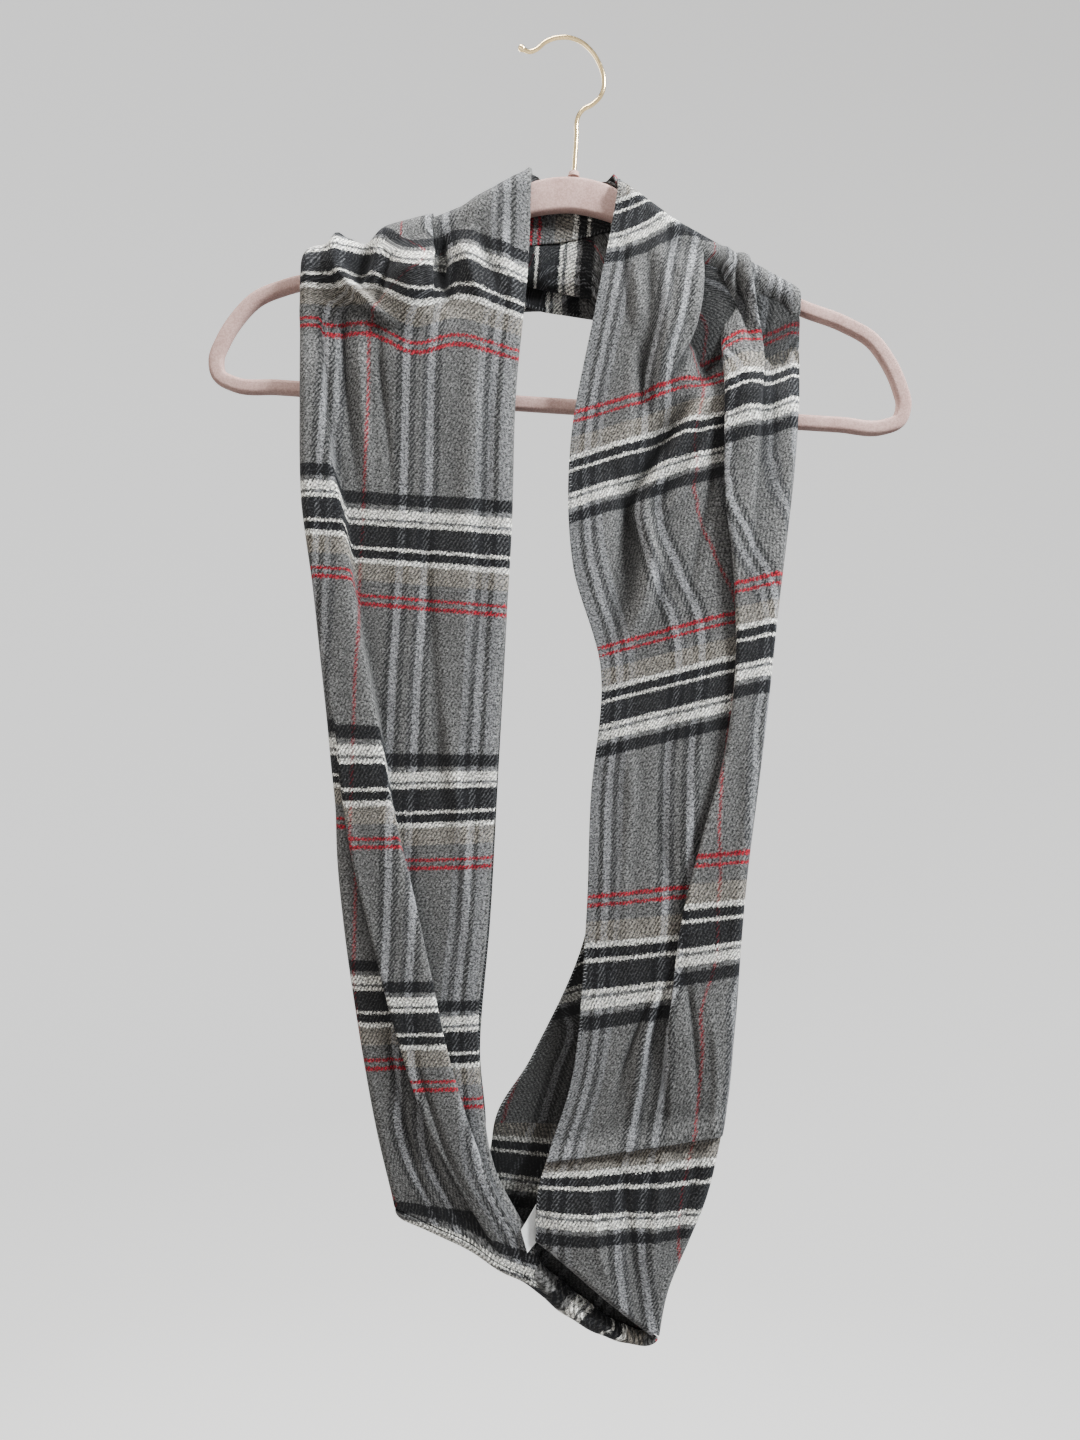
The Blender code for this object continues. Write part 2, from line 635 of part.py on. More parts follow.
flock = plain("frame flock", (0.62, 0.36, 0.32), 0.9)
boss_flock = plain("collar flock", (0.62, 0.36, 0.32), 0.9)
brass = plain("gold wire", (0.75, 0.55, 0.25), 0.25, 1.0)
right_cloth = plain("right leg cloth", (0.35, 0.34, 0.33), 0.95)
tail_cloth = plain("right tail cloth", (0.38, 0.37, 0.36), 0.95)
left_cloth = plain("left leg cloth", (0.33, 0.32, 0.31), 0.95)
fold_cloth = plain("neck fold cloth", (0.2, 0.19, 0.19), 0.95)
wrap_cloth = plain("neck wrap cloth", (0.31, 0.3, 0.3), 0.95)
turn_cloth = plain("bottom turn cloth", (0.36, 0.35, 0.34), 0.95)
roll_cloth = plain("bottom roll cloth", (0.4, 0.39, 0.38), 0.95)
seam_cloth = plain("seam lip cloth", (0.12, 0.12, 0.12), 0.95)
white = plain("label weave", (0.85, 0.85, 0.83), 0.8)

ring_body("hanger_frame", frame_points, flock)

# Collar: a tapered boss on top of the arch, its foot just above the flock
bpy.ops.mesh.primitive_cone_add(
    vertices=24,
    radius1=COLLAR_RADII[0] * MM,
    radius2=COLLAR_RADII[1] * MM,
    depth=COLLAR_TALL * MM,
)
collar = bpy.context.active_object
collar.name = "hanger_collar"
collar_x, collar_z = tipped(0, COLLAR_FOOT + GAP + COLLAR_TALL / 2)
collar.location = (collar_x * MM, 0, collar_z * MM)
collar.rotation_euler = (0, HANGER_TIP, 0)
collar.data.materials.append(boss_flock)

# Hook: gold wire along named bends, thicker at its ball end
hook_bends = table(
    "x z thick",
    [
        (3.2, -83.7, 1),
        (4.6, -62, 1),
        (5.3, -50.5, 1),
        (8.6, -45, 1),
        (15.0, -41.2, 1),
        (20.6, -35, 1),
        (22.2, -26, 1),
        (19.6, -16, 1),
        (13.5, -6.4, 1),
        (4.5, 0.1, 1),
        (-5.4, 1.5, 1),
        (-14.5, -1.1, 1),
        (-21, -6.2, 1),
        (-25, -7.6, 1),
        (-28.4, -6.6, 1.05),
        (-30.2, -5.5, 1.65),
        (-31.6, -4.7, 1.3),
        (-32.2, -4.3, 0.5),
    ],
)
path = bpy.data.curves.new("hanger_hook", "CURVE")
path.dimensions = "3D"
path.resolution_u = 3
path.bevel_depth = WIRE_RADIUS * MM
path.bevel_resolution = 2
path.use_fill_caps = True
spline = path.splines.new("BEZIER")
spline.bezier_points.add(len(hook_bends["x"]) - 1)
for point, x, z, thick in zip(spline.bezier_points, hook_bends["x"], hook_bends["z"], hook_bends["thick"]):
    point.co = (x * MM, 0, z * MM)
    point.handle_left_type = "AUTO"
    point.handle_right_type = "AUTO"
    point.radius = thick
hook = bpy.data.objects.new("hanger_hook", path)
bpy.context.scene.collection.objects.link(hook)
path.materials.append(brass)

# Legs of the scarf
right_anchors = [(right_folds[3], 9, 1.6), (right_folds[4], 2, 1.4)]
right_counts = {"anchors": right_anchors, "last": 3, "fold": 4, "back": 6, "tuck": 0}
right_counts.update({"rows": 26, "over": 5, "behind": 6, "pace": lambda t: 1 - (1 - t) ** 1.25})
right_points = leg_grid(right_rows, right_folds, 1, right_counts, 0, lambda u, x, z: GAP / 2)
sheet("right_leg", right_points, right_cloth)

left_anchors = [(left_folds[0], 5, 1.5), (left_folds[3], 3, 1.6), (left_folds[4], 2, 1.4)]
left_counts = {"anchors": left_anchors, "last": 2, "fold": 4, "back": 6, "tuck": 3}
left_counts.update({"rows": 28, "over": 5, "behind": 6, "pace": lambda t: 1 - (1 - t) ** 1.2})
left_points = leg_grid(
    left_rows,
    left_folds,
    -1,
    left_counts,
    TUCK_DEEP,
    lambda u, x, z: crossing(u, z - curve(x, bottom["x"], bottom["z"]) - HEM - HEM_GAP, True),
)
sheet("left_leg", left_points, left_cloth)

# Below the cross seam
tail_hem = table("x z", [(-60, -738), (-21, -763), (15, -791), (53, -822), (70, -836)])
tail_counts = {"anchors": [(tail_folds[0], 3, 0.4)], "last": 5, "fold": 4, "back": 8, "tuck": 0, "rows": 8, "turn": 5}
tail_points = tail_grid(tail_counts)
sheet("right_tail", tail_points, tail_cloth)

roll_rows = table(
    "x n_front lip",
    [
        (-112, 8, 5),
        (-90, 9, 5),
        (-60, 12, 5),
        (-15, 12, 18),
        (0, 11, 18),
        (10, 10.5, 14),
        (26, 9, 10),
        (45, 8, 9),
        (60, 8, 9),
    ],
)
curl_settings = {"radius": 2.2, "from": 0.55}
sheet("bottom_turn", roll_grid([-108, -100, -90, -80, -70, -60, -50, -40, -30, -22, -16], False), turn_cloth)
sheet("bottom_roll", roll_grid([-15.7, -11, -6, 0, 6, 12, 19, 26, 32, 38, 43], True), roll_cloth)

# Behind the neck
neck_rows = table(
    "x top flap roll strip",
    [
        (-31, -112, -130, -151, -165),
        (-20, -98, -128.8, -154, -168.5),
        (0, -93, -126.5, -158, -172),
        (16, -94, -122.5, -161, -174.5),
        (27, -104, -119.5, -162.5, -176),
    ],
)
sheet("neck_fold", neck_fold_grid([-30, -24, -16, -6, 6, 16, 22, 27]), fold_cloth)
wrap_points = []
for x in np.linspace(-1, 1, 5) * (NECK_HALF - GAP):
    dip = 1 - (x / NECK_HALF) ** 2
    shares = np.linspace(0, 1, 9)
    z = NECK_TOP - NECK_SAG * dip * (1 - shares) - NECK_TALL * shares
    y = np.full(9, NECK_BACK + NECK_STACK + NECK_BULGE * dip)
    wrap_points.append(np.stack([np.full(9, x), y, z], axis=1))
sheet("neck_wrap", np.array(wrap_points), wrap_cloth)

# Lip of the cross seam, lying on the front of the right leg just above the seam
seam_lines = (0.6, 3.0, 5.4)
seam_off = WALL + GAP + 0.1
front_columns = right_points.shape[1] - right_counts["back"] - right_counts["fold"]
seam_points = []
for u in seam_lines:
    line = weft_section(right_rows, right_folds, 1, u, right_counts, 0)[:, 1:front_columns]
    seam_points.append(np.stack([line[0], -FRAME_DEPTH / 2 - line[2] - seam_off, line[1]], axis=1))
sheet("seam_lip", np.array(seam_points), seam_cloth, SEAM_WALL)

# Blank label, its lower part behind the tail
label_corners = table("x n z", [(-30.5, 14.2, -752), (-26.5, 14.2, -766), (-21, 11, -737.5), (-12, 10, -751)])
label_points = np.zeros((3, 3, 3))
for i in range(3):
    for j in range(3):
        weights = np.array([(2 - i) * (2 - j), i * (2 - j), (2 - i) * j, i * j]) / 4
        spot = [float(np.dot(weights, label_corners[name])) for name in ("x", "n", "z")]
        label_points[i, j] = (spot[0], -FRAME_DEPTH / 2 - spot[1], spot[2])
sheet("care_label", label_points, white, LABEL_WALL)
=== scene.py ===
# Loop scarf on a flocked clothes hanger: the cloth, its weave and stitches, the flock and the wire
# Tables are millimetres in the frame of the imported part, finished meshes are metres
import math

import bmesh
import bpy
import numpy as np
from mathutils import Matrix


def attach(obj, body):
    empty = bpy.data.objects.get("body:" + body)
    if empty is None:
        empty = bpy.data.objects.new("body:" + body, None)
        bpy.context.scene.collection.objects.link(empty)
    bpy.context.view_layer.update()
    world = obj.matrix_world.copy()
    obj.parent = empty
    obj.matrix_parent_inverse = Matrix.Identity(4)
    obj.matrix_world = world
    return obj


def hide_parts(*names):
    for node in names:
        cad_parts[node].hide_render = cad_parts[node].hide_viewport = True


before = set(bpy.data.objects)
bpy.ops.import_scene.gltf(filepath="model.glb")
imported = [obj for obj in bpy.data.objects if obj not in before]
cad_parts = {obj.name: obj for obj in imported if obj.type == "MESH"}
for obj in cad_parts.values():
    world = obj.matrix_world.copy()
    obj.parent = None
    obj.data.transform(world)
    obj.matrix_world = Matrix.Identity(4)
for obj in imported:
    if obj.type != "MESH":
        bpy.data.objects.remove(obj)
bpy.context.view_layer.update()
mm = 0.001

clothSettings = {
    "wall": 1.3,
    "foldReach": 5.0,  # how far the outer fold rounds out
    "layerBack": 2.5,  # height of the hidden layer off the hanger's front
    "ridgeBack": 2.8,  # the same at the top of the arm
    "hem": 5.0,
    "hemGap": 0.9,
    "lean": 0.6,
    "unevenness": 0.4,
    "layerLift": 2.6,  # how far the front lies off the hidden layer where the arm carries both
    "tuckLift": 2.2,  # and the tucked edge between them
    "crispStep": 0.6,  # the finer cloth turns its pleats tighter than the solids do
    "crispRidge": 0.85,
    "deeper": 1.25,
    "samples": 640,  # points on a weft line before it is evened out
    "stations": 420,
    "partBy": 75,  # how far below the arm the layers are fully apart
    "press": 0.3,
    "flareReach": 16,
    "fineBelow": 30,  # fine creases fade in below the arm, and towards the outer fold
    "fineEdge": 0.06,
    "backBunch": 0.9,
    "stretchFrom": 900,
    "stretchOver": 560,
}
# The inner edge tucked under: its band and fade, its round, and where up the leg it is widest
tuckSettings = {
    "band": 42,
    "fade": 12,
    "round": 1.8,
    "least": 4,
    "low": 1440,
    "lowOver": 120,
    "high": 700,
    "highOver": 200,
}
hangerSettings = {
    "tip": math.radians(3.8),
    "centre": 8.7,
    "depth": 7.5,
    "rounding": 2.6,
    "wire": 1.4,
    "ringsPerStep": 7,
    "cornerSteps": 6,
}
neckSettings = {
    "half": 18.0,
    "back": 15.0,
    "stack": 6.5,
    "top": -84.0,
    "tall": 79.0,
    "gap": 0.3,
    "peek": 4.6,  # how far the inner edge stands up behind the arch
    "peekWidth": 0.26,
    "pull": 0.9,  # how strongly the cloth leaves the arm and comes in to the neck
    "leave": 0.75,
    "drift": 0.3,
    "backBy": 0.9,
    "blend": 0.7,
    "probe": 0.02,
    "settle": 1.25,
    "turnLeast": 0.6,  # of a half turn over the arm at the inner edge, and how soon it is whole
    "turnOver": 0.25,
}


def columnsOf(names, rows):
    return {name: np.array(values, float) for name, values in zip(names.split(), zip(*rows))}


def smoothLine(at, xs, ys):
    slope = np.gradient(ys, xs)
    at = np.asarray(at, float)
    left = np.clip(np.searchsorted(xs, at) - 1, 0, len(xs) - 2)
    span = xs[left + 1] - xs[left]
    s = np.clip((at - xs[left]) / span, 0, 1)
    value = (1 + 2 * s) * (1 - s) ** 2 * ys[left] + s * (1 - s) ** 2 * span * slope[left]
    value += s**2 * (3 - 2 * s) * ys[left + 1] + s**2 * (s - 1) * span * slope[left + 1]
    past = at - np.clip(at, xs[0], xs[-1])
    return value + past * np.where(at < xs[0], slope[0], slope[-1])


def easeInOut(t):
    t = np.clip(t, 0, 1)
    return t * t * (3 - 2 * t)


def keepAbove(value, floor):
    over = value - floor
    return floor + 0.5 * (over + np.sqrt(over * over + 1.5))


# The form of the cloth, row by row, as the solids have it
bottomLine = columnsOf(
    "x z",
    [
        (-110, -747), (-81, -759), (-61, -768), (-43, -780), (-28, -787), (-14, -798), (3, -811),
        (18, -819), (34, -825), (50, -828), (62, -826),
    ],
)
legNames = "u xIn zIn xOut zOut xBack zBack nIn nOut swell"
rightRows = columnsOf(
    legNames,
    [
        (-140, -13, -838, 54, -828, -80, -812, 17, 15, 2),
        (-100, -18, -802, 61, -792, -71, -778, 17, 13, 3),
        (-60, -21, -763, 74.5, -761, -59, -742, 16, 12, 4),
        (-20, -19.5, -725, 88.5, -723, -50, -706, 15, 12, 4),
        (0, -14.5, -708, 95, -692, -47.5, -689, 14, 12, 3),
        (62, 1.5, -657, 102.5, -620.5, -24, -648, 13, 12, 3),
        (146, 10, -562, 109.5, -534, 10, -570, 13, 12, 3),
        (230, 13, -484, 121, -443, 16, -490, 13, 12, 3),
        (314, 19.5, -405, 130, -360, 23, -408, 12, 12, 3),
        (398, 1.5, -335.5, 140, -275.5, 8, -338, 13, 12, 2),
        (482, 0.5, -261, 144.5, -198, 6, -262, 14, 12, 1),
        (566, 16.5, -174, 146, -120, 20, -176, 12, 11, 0),
        (650, 31, -96, 147, -45, 33, -98, 8, 9, 0),
        (740, 40, -10, 148, 40, 42, -12, 7, 7, 0),
    ],
)
leftRows = columnsOf(
    legNames,
    [
        (640, -24, 24, -166, 34, -22, 24, 7, 6, 0),
        (734, -26, -68, -167, -56, -24, -68, 8, 7, 0),
        (818, -28.5, -150.5, -168, -137, -27, -150, 12, 9, 1),
        (902, -36, -231, -167, -208, -35, -231, 15, 11, 2),
        (986, -38.5, -314, -166, -290, -37, -313, 16, 10, 2),
        (1070, -43.5, -396, -158, -371, -41, -396, 15, 9, 2),
        (1154, -48.5, -478, -149.5, -454.5, -45.5, -478, 14, 9, 2),
        (1238, -53.5, -560, -144, -535, -50, -560, 13, 9, 2),
        (1322, -59.5, -638, -134, -613, -56.5, -640, 12, 9, 2),
        (1406, -46, -717, -120, -694, -53.5, -701, 12, 8, 1),
        (1462, -21, -775, -109, -743, -63, -744, 12, 8, 1),
        (1500, -20, -808, -103, -779, -71.5, -776, 12, 8, 1),
        (1550, -19, -860, -98, -830, -82, -822, 12, 8, 1),
    ],
)


def ridge(width, *stations):
    # a crease, or a hollow where the rise is below nought, with stations of x, z and rise
    return "ridge", width, 0, [(*station, 0) for station in stations]


def step(width, jump, *stations):
    # the edge of a pleat, which shifts the woven bars by jump, with stations of x, z, rise and lean
    return "step", width, jump, list(stations)


rightFolds = [
    ridge(9, (87, -90, -2), (87, -134, -6), (89, -165, -13), (87, -198, -13), (84, -232, 0)),
    ridge(14, (80, -215, 0), (62, -250, -6), (44, -290, -8), (36, -340, -5), (28, -400, 0)),
    ridge(7, (92, -212, 0), (72, -255, 5), (46, -300, 7), (50, -340, 6), (24, -415, 0)),
    step(
        4, 18, (95, -118, 0, 0), (96, -150, 4, 1), (97, -236, 5, 5), (98, -298, 5, 6), (102, -342, 5, 4),
        (103, -403, 4, 3), (97, -453, 4, 3), (84, -503, 5, 5), (70, -560, 5, 5), (63, -608, 4, 3),
        (56, -664, 2, 1), (54, -700, 0, 0),
    ),
    step(
        4, 0, (112, -120, 0, 0), (114, -150, -4, 2), (118, -181, -6, 4), (120, -206, -6, 4),
        (118, -240, -4, 1), (112, -320, -2, 0), (108, -380, 0, 0),
    ),
    ridge(3, (103, -130, 0), (106, -152, -3), (111, -172, -3), (116, -200, 0)),
    step(3, 0, (58, -90, 0, 0), (61, -110, -4, 2), (60, -135, -3, 1), (58, -165, 0, 0)),
    ridge(6, (30, -100, 0), (36, -160, -2), (46, -230, -2), (52, -265, 0)),
    ridge(4, (66, -572, 0), (52, -610, 3), (43, -645, 3), (38, -690, 1), (36, -715, 0)),
    step(3, 0, (66, -590, 0, 0), (62, -625, 2.5, 1.5), (61, -670, 2, 1), (62, -700, 0, 0)),
]
tailFolds = [
    ridge(22, (0, -700, 0), (4, -745, 3), (20, -790, 2), (40, -830, 0)),
]
leftFolds = [
    step(
        3.5, 0, (-86, -112, 0, 1), (-87, -127, 3, 4), (-87, -143, 7, 8), (-87, -157, 7, 7),
        (-85, -174, 4, 3), (-88, -192, 0, 0),
    ),
    ridge(9, (-128, -125, -2), (-129, -146, -8), (-130, -158, -8), (-126, -172, 0)),
    ridge(5, (-150, -140, 3), (-140, -161, 5), (-125, -176, 3), (-112, -186, 0)),
    step(
        7, 16, (-156, -172, 0, 0), (-154, -211, 3, 0), (-149, -261, 4, 1), (-140, -310, 5, 2),
        (-129, -385, 5, 2), (-119, -435, 5, 3), (-110, -490, 5, 4), (-97, -546, 6, 6), (-87, -596, 6, 8),
        (-78, -640, 6, 9), (-66, -680, 6, 8), (-50, -722, 4, 5), (-30, -765, 0, 0),
    ),
    step(
        3, 14, (-148, -415, 0, 0), (-143, -470, -2, 1), (-136, -515, -3, 2), (-121, -574, -3, 3),
        (-107, -628, -4, 3), (-98, -658, -4, 3), (-84, -695, -4, 3), (-60, -741, -3, 2),
        (-44, -768, 0, 0),
    ),
]

# Finer creases than the solids have, the same way
rightCreases = [
    ridge(26, (66, -104, 2), (66, -140, 7), (60, -190, 6), (56, -260, 0)),
    ridge(8, (77, -110, 1), (74, -150, 6), (69, -182, 6), (57, -212, 3), (44, -240, 0)),
    step(
        4, 0, (81, -108, -4, 2), (82, -140, -12, 6), (80, -172, -13, 7), (74, -198, -10, 5),
        (63, -218, -3, 1), (56, -232, 0, 0),
    ),
    ridge(10, (108, -112, 2), (109, -145, 6), (112, -175, 6), (110, -230, 3), (108, -280, 0)),
    ridge(4, (95, -132, 0), (104, -146, 4.5), (113, -156, 5), (118, -172, 4.5), (121, -222, 0)),
    ridge(2.8, (102, -142, 0), (105, -153, -6), (108, -166, -6.5), (111, -184, -4), (114, -205, 0)),
    ridge(5, (57, -100, 0), (62, -112, -4), (65, -124, -4), (64, -142, 0)),
    ridge(4, (38, -125, 0), (41, -165, 2.4), (39, -215, 1.8), (34, -262, 0)),
    ridge(3.5, (49, -120, 0), (50, -160, -2.2), (48, -210, -2.0), (38, -275, 0)),
    ridge(3.5, (59, -124, 0), (60, -165, 2.4), (57, -215, 2.0), (48, -262, 0)),
    ridge(3, (70, -118, 0), (72, -150, -1.8), (70, -200, -1.4), (66, -240, 0)),
    ridge(4, (79, -120, 0), (79, -150, 3.5), (76, -185, 3.5), (74, -222, 0)),
    ridge(3, (102, -128, 0), (107, -150, 3.5), (112, -168, 4), (117, -195, 3), (120, -235, 0)),
    ridge(3, (128, -135, 0), (130, -165, -2.2), (127, -240, -1.4), (122, -330, 0)),
    ridge(3, (138, -150, 0), (139, -200, 1.6), (136, -290, 1.4), (130, -380, 0)),
    ridge(5, (22, -260, 0), (34, -300, -2.2), (52, -345, -1.8), (60, -400, 0)),
    ridge(4, (96, -230, 0), (84, -262, 2.4), (66, -296, 2.6), (44, -322, 0)),
    ridge(4, (96, -250, 0), (88, -290, -2.0), (78, -335, -2.0), (70, -390, 0)),
    ridge(5, (30, -420, 0), (38, -470, 1.9), (34, -540, 1.7), (40, -610, 0)),
    ridge(6, (66, -400, 0), (60, -450, -2.2), (58, -520, -2.2), (66, -565, 0)),
    ridge(5, (86, -400, 0), (82, -440, 2.0), (74, -495, 2.0), (68, -545, 0)),
    ridge(3, (69, -582, 0), (74, -610, -2.6), (78, -650, -2.0), (80, -690, 0)),
    ridge(3, (60, -588, 0), (48, -615, -2.5), (34, -650, -1.9), (24, -690, 0)),
    ridge(3, (66, -585, 0), (62, -612, 2.2), (56, -650, 2.0), (52, -700, 0)),
    ridge(4, (112, -420, 0), (110, -480, 2.0), (104, -545, 1.8), (98, -610, 0)),
    ridge(3, (84, -600, 0), (90, -640, 1.6), (90, -680, 1.8), (88, -706, 0)),
]
leftCreases = [
    ridge(34, (-96, -118, 0), (-96, -138, 4), (-100, -175, 4), (-110, -235, 0)),
    ridge(5, (-79, -108, -3), (-80, -126, -8), (-80, -148, -11), (-75, -182, 0)),
    ridge(12, (-101, -112, 0), (-100, -130, 4), (-98, -158, 6), (-102, -196, 0)),
    ridge(5, (-104, -112, 2), (-108, -126, 3.5), (-118, -138, 2.5), (-128, -150, 0)),
    ridge(8, (-66, -104, 2), (-64, -126, 5), (-61, -150, 4), (-54, -186, 0)),
    ridge(5, (-112, -124, 0), (-112, -140, -4), (-115, -158, -3.5), (-120, -180, 0)),
    ridge(2.5, (-118, -132, 0), (-120, -143, 5), (-127, -161, 5), (-133, -172, 0)),
    ridge(4, (-150, -140, 0), (-143, -154, 3.5), (-132, -170, 4), (-116, -186, 2), (-104, -192, 0)),
    ridge(3.5, (-146, -150, 0), (-138, -163, -3), (-126, -179, -3), (-112, -193, 0)),
    ridge(3, (-112, -128, 0), (-112, -145, -2.5), (-116, -165, -2), (-124, -185, 0)),
    ridge(4, (-72, -110, 0), (-70, -130, 2.5), (-62, -155, 2.2), (-50, -185, 0)),
    ridge(4, (-60, -104, 0), (-56, -130, -2.4), (-48, -155, -2), (-38, -185, 0)),
    ridge(3.5, (-45, -100, 0), (-42, -130, 2), (-36, -165, 1.6), (-33, -210, 0)),
    ridge(3.5, (-152, -168, 0), (-150, -200, 2.6), (-146, -240, 1.6), (-141, -280, 0)),
    ridge(3, (-142, -172, 0), (-141, -205, -2.6), (-137, -250, -1.8), (-131, -300, 0)),
    ridge(4, (-130, -176, 0), (-130, -215, 2.6), (-127, -260, 2.0), (-122, -330, 0)),
    ridge(3, (-119, -180, 0), (-118, -215, -2.0), (-113, -265, -1.5), (-110, -310, 0)),
    ridge(6, (-62, -190, 0), (-60, -230, 1.8), (-64, -290, 1.6), (-66, -380, 0)),
    ridge(5, (-48, -200, 0), (-50, -250, -1.8), (-54, -330, -1.6), (-58, -420, 0)),
    ridge(5, (-92, -300, 0), (-88, -360, -2.0), (-82, -450, -1.8), (-78, -520, 0)),
    ridge(5, (-76, -420, 0), (-70, -480, 1.8), (-64, -550, 1.6), (-62, -620, 0)),
    ridge(2.5, (-104, -640, 0), (-94, -672, 2.2), (-80, -712, 2.2), (-62, -748, 0)),
    ridge(2.5, (-98, -636, 0), (-88, -668, -2.0), (-74, -708, -2.0), (-56, -745, 0)),
    ridge(3, (-118, -600, 0), (-110, -650, -2.0), (-98, -705, -1.8), (-88, -745, 0)),
    step(4, 0, (-165, -150, 0, 0), (-165, -178, -4, 3), (-163, -300, -4, 3), (-158, -345, 0, 0)),
]
tailCreases = [
    ridge(4, (60, -692, 0), (56, -720, 2.0), (52, -760, 1.8), (50, -800, 0)),
    ridge(4, (30, -700, 0), (34, -730, -1.8), (40, -775, -1.6), (46, -812, 0)),
    ridge(3, (10, -705, 0), (14, -735, 1.5), (20, -770, 1.2), (28, -795, 0)),
    ridge(4, (84, -692, 0), (76, -725, -2.0), (66, -765, -1.6), (58, -805, 0)),
]

# How the woven bars ride up and down over the folded shoulder, by x, and where by z
leftSway = columnsOf("x lift", [(-170, 0), (-150, 2), (-122, 6), (-97, -6), (-70, 6), (-48, 2), (-28, -5)])
rightSway = columnsOf("x lift", [(20, 0), (45, -2), (70, 2), (92, -6), (104, 4), (122, -3), (148, 0)])
swayShare = columnsOf("z share", [(-300, 0), (-215, 0.6), (-150, 1), (-100, 1)])

frameHalf = columnsOf(
    "x z width",
    [
        (0, -99, 22), (16, -101, 21.6), (31, -106, 19), (46, -113, 14.5), (60, -119.5, 11),
        (80, -128.6, 9.6), (100, -138, 9.4), (125, -149.6, 9.4), (150, -161, 9.4), (178, -169.5, 9.4),
        (197, -179, 9.4), (208.5, -192.5, 9.4), (216.5, -207.5, 9.4), (219.9, -219, 9.4),
        (217.3, -229, 9.4), (207.5, -233.8, 9.4), (180, -234, 9.4), (90, -234, 9.4), (0, -234, 9.4),
    ],
)


def tipped(x, z):
    x = x + hangerSettings["centre"]
    turn = hangerSettings["tip"]
    return x * math.cos(turn) + z * math.sin(turn), -x * math.sin(turn) + z * math.cos(turn)


def frameRings(parts, cornerSteps):
    # a rounded section carried along the middle line of the frame
    xs = np.concatenate([frameHalf["x"], -frameHalf["x"][-2:0:-1]])
    zs = np.concatenate([frameHalf["z"], frameHalf["z"][-2:0:-1]])
    widths = np.concatenate([frameHalf["width"], frameHalf["width"][-2:0:-1]])
    wrap = [np.concatenate([values[-3:], values, values[:4]]) for values in (xs, zs, widths)]
    run = np.concatenate([[0], np.cumsum(np.hypot(np.diff(wrap[0]), np.diff(wrap[1])))])
    at = []
    for k in range(3, 3 + len(xs)):
        at += [run[k] + (run[k + 1] - run[k]) * i / parts for i in range(parts)]
    at = np.array(at)
    x, z, width = [smoothLine(at, run, values) for values in wrap]
    ahead = [smoothLine(at + 0.5, run, values) - smoothLine(at - 0.5, run, values) for values in wrap[:2]]
    norm = np.hypot(*ahead)
    sideX, sideZ = ahead[1] / norm, -ahead[0] / norm
    rounding, depth = hangerSettings["rounding"], hangerSettings["depth"]
    points = []
    for cornerX, cornerY, first in ((1, 1, 0), (-1, 1, 90), (-1, -1, 180), (1, -1, 270)):
        for turn in np.radians(first + np.linspace(0, 90, cornerSteps)):
            w = cornerX * (width / 2 - rounding) + rounding * math.cos(turn)
            px, pz = tipped(x + sideX * w, z + sideZ * w)
            y = cornerY * (depth / 2 - rounding) + rounding * math.sin(turn)
            points.append(np.stack([px, np.full_like(px, y), pz], axis=1))
    return np.array(points).transpose(1, 0, 2)


coarseRings = frameRings(2, 3)
ringTops = coarseRings[np.arange(len(coarseRings)), coarseRings[:, :, 2].argmax(axis=1)]
ringTops = ringTops[ringTops[:, 2] > -195]
ringTops = ringTops[ringTops[:, 0].argsort()]
armX = np.arange(-185, 186, 5.0)
armZ = np.interp(armX, ringTops[:, 0], ringTops[:, 2])


def armCentre(x):
    return smoothLine(x, armX, armZ) - hangerSettings["depth"] / 2


def foldShape(folds, side, x, z, f):
    # how far the folds lift the cloth, push it sideways and shift its woven bars
    rise = np.zeros_like(x)
    push = np.zeros_like(x)
    shift = np.zeros_like(x)
    for kind, width, jump, stations in folds:
        fold = columnsOf("x z rise lean", stations[::-1])
        width = width * clothSettings["crispRidge" if kind == "ridge" else "crispStep"]
        s = side * (x - smoothLine(np.clip(z, fold["z"][0], fold["z"][-1]), fold["z"], fold["x"])) / width
        height = np.interp(z, fold["z"], fold["rise"]) * clothSettings["deeper"]
        if kind == "ridge":
            rise += height * np.exp(-s * s)
            continue
        rise += height * 0.5 * (1 + np.tanh(1.3 * s))
        lean = np.interp(z, fold["z"], fold["lean"])
        push -= side * clothSettings["lean"] * lean * s * np.exp(0.5 - 0.5 * s * s)
        most = np.abs(fold["rise"]).max()
        shift -= side * jump * np.clip(np.abs(height) / most * 1.3, 0, 1) * (0.5 * (1 + np.tanh(3 * s)) - f)
    return rise, push, shift


def uneven(x, z, seedTurn):
    # slow waves that keep a soft cloth from looking pressed
    wave = np.sin(x / 9.1 + z / 37 + seedTurn) * np.sin(z / 29 - x / 23 + 2 * seedTurn)
    wave += 0.6 * np.sin(x / 4.7 - z / 61 + 3 * seedTurn) * np.sin(z / 13.7 + x / 31)
    return clothSettings["unevenness"] * wave


def evenColumns(count, *lines):
    # the same number of columns on every line, evenly spaced along its own length
    steps = np.sqrt(sum(np.diff(line, axis=1) ** 2 for line in lines[:3]))
    run = np.concatenate([np.zeros((len(steps), 1)), np.cumsum(steps, axis=1)], axis=1)
    run /= run[:, -1:]
    at = np.linspace(0, 1, count)
    return [np.array([np.interp(at, run[k], line[k]) for k in range(len(run))]) for line in lines]


def backHeight(away):
    return clothSettings["ridgeBack"] + (clothSettings["layerBack"] - clothSettings["ridgeBack"]) * away


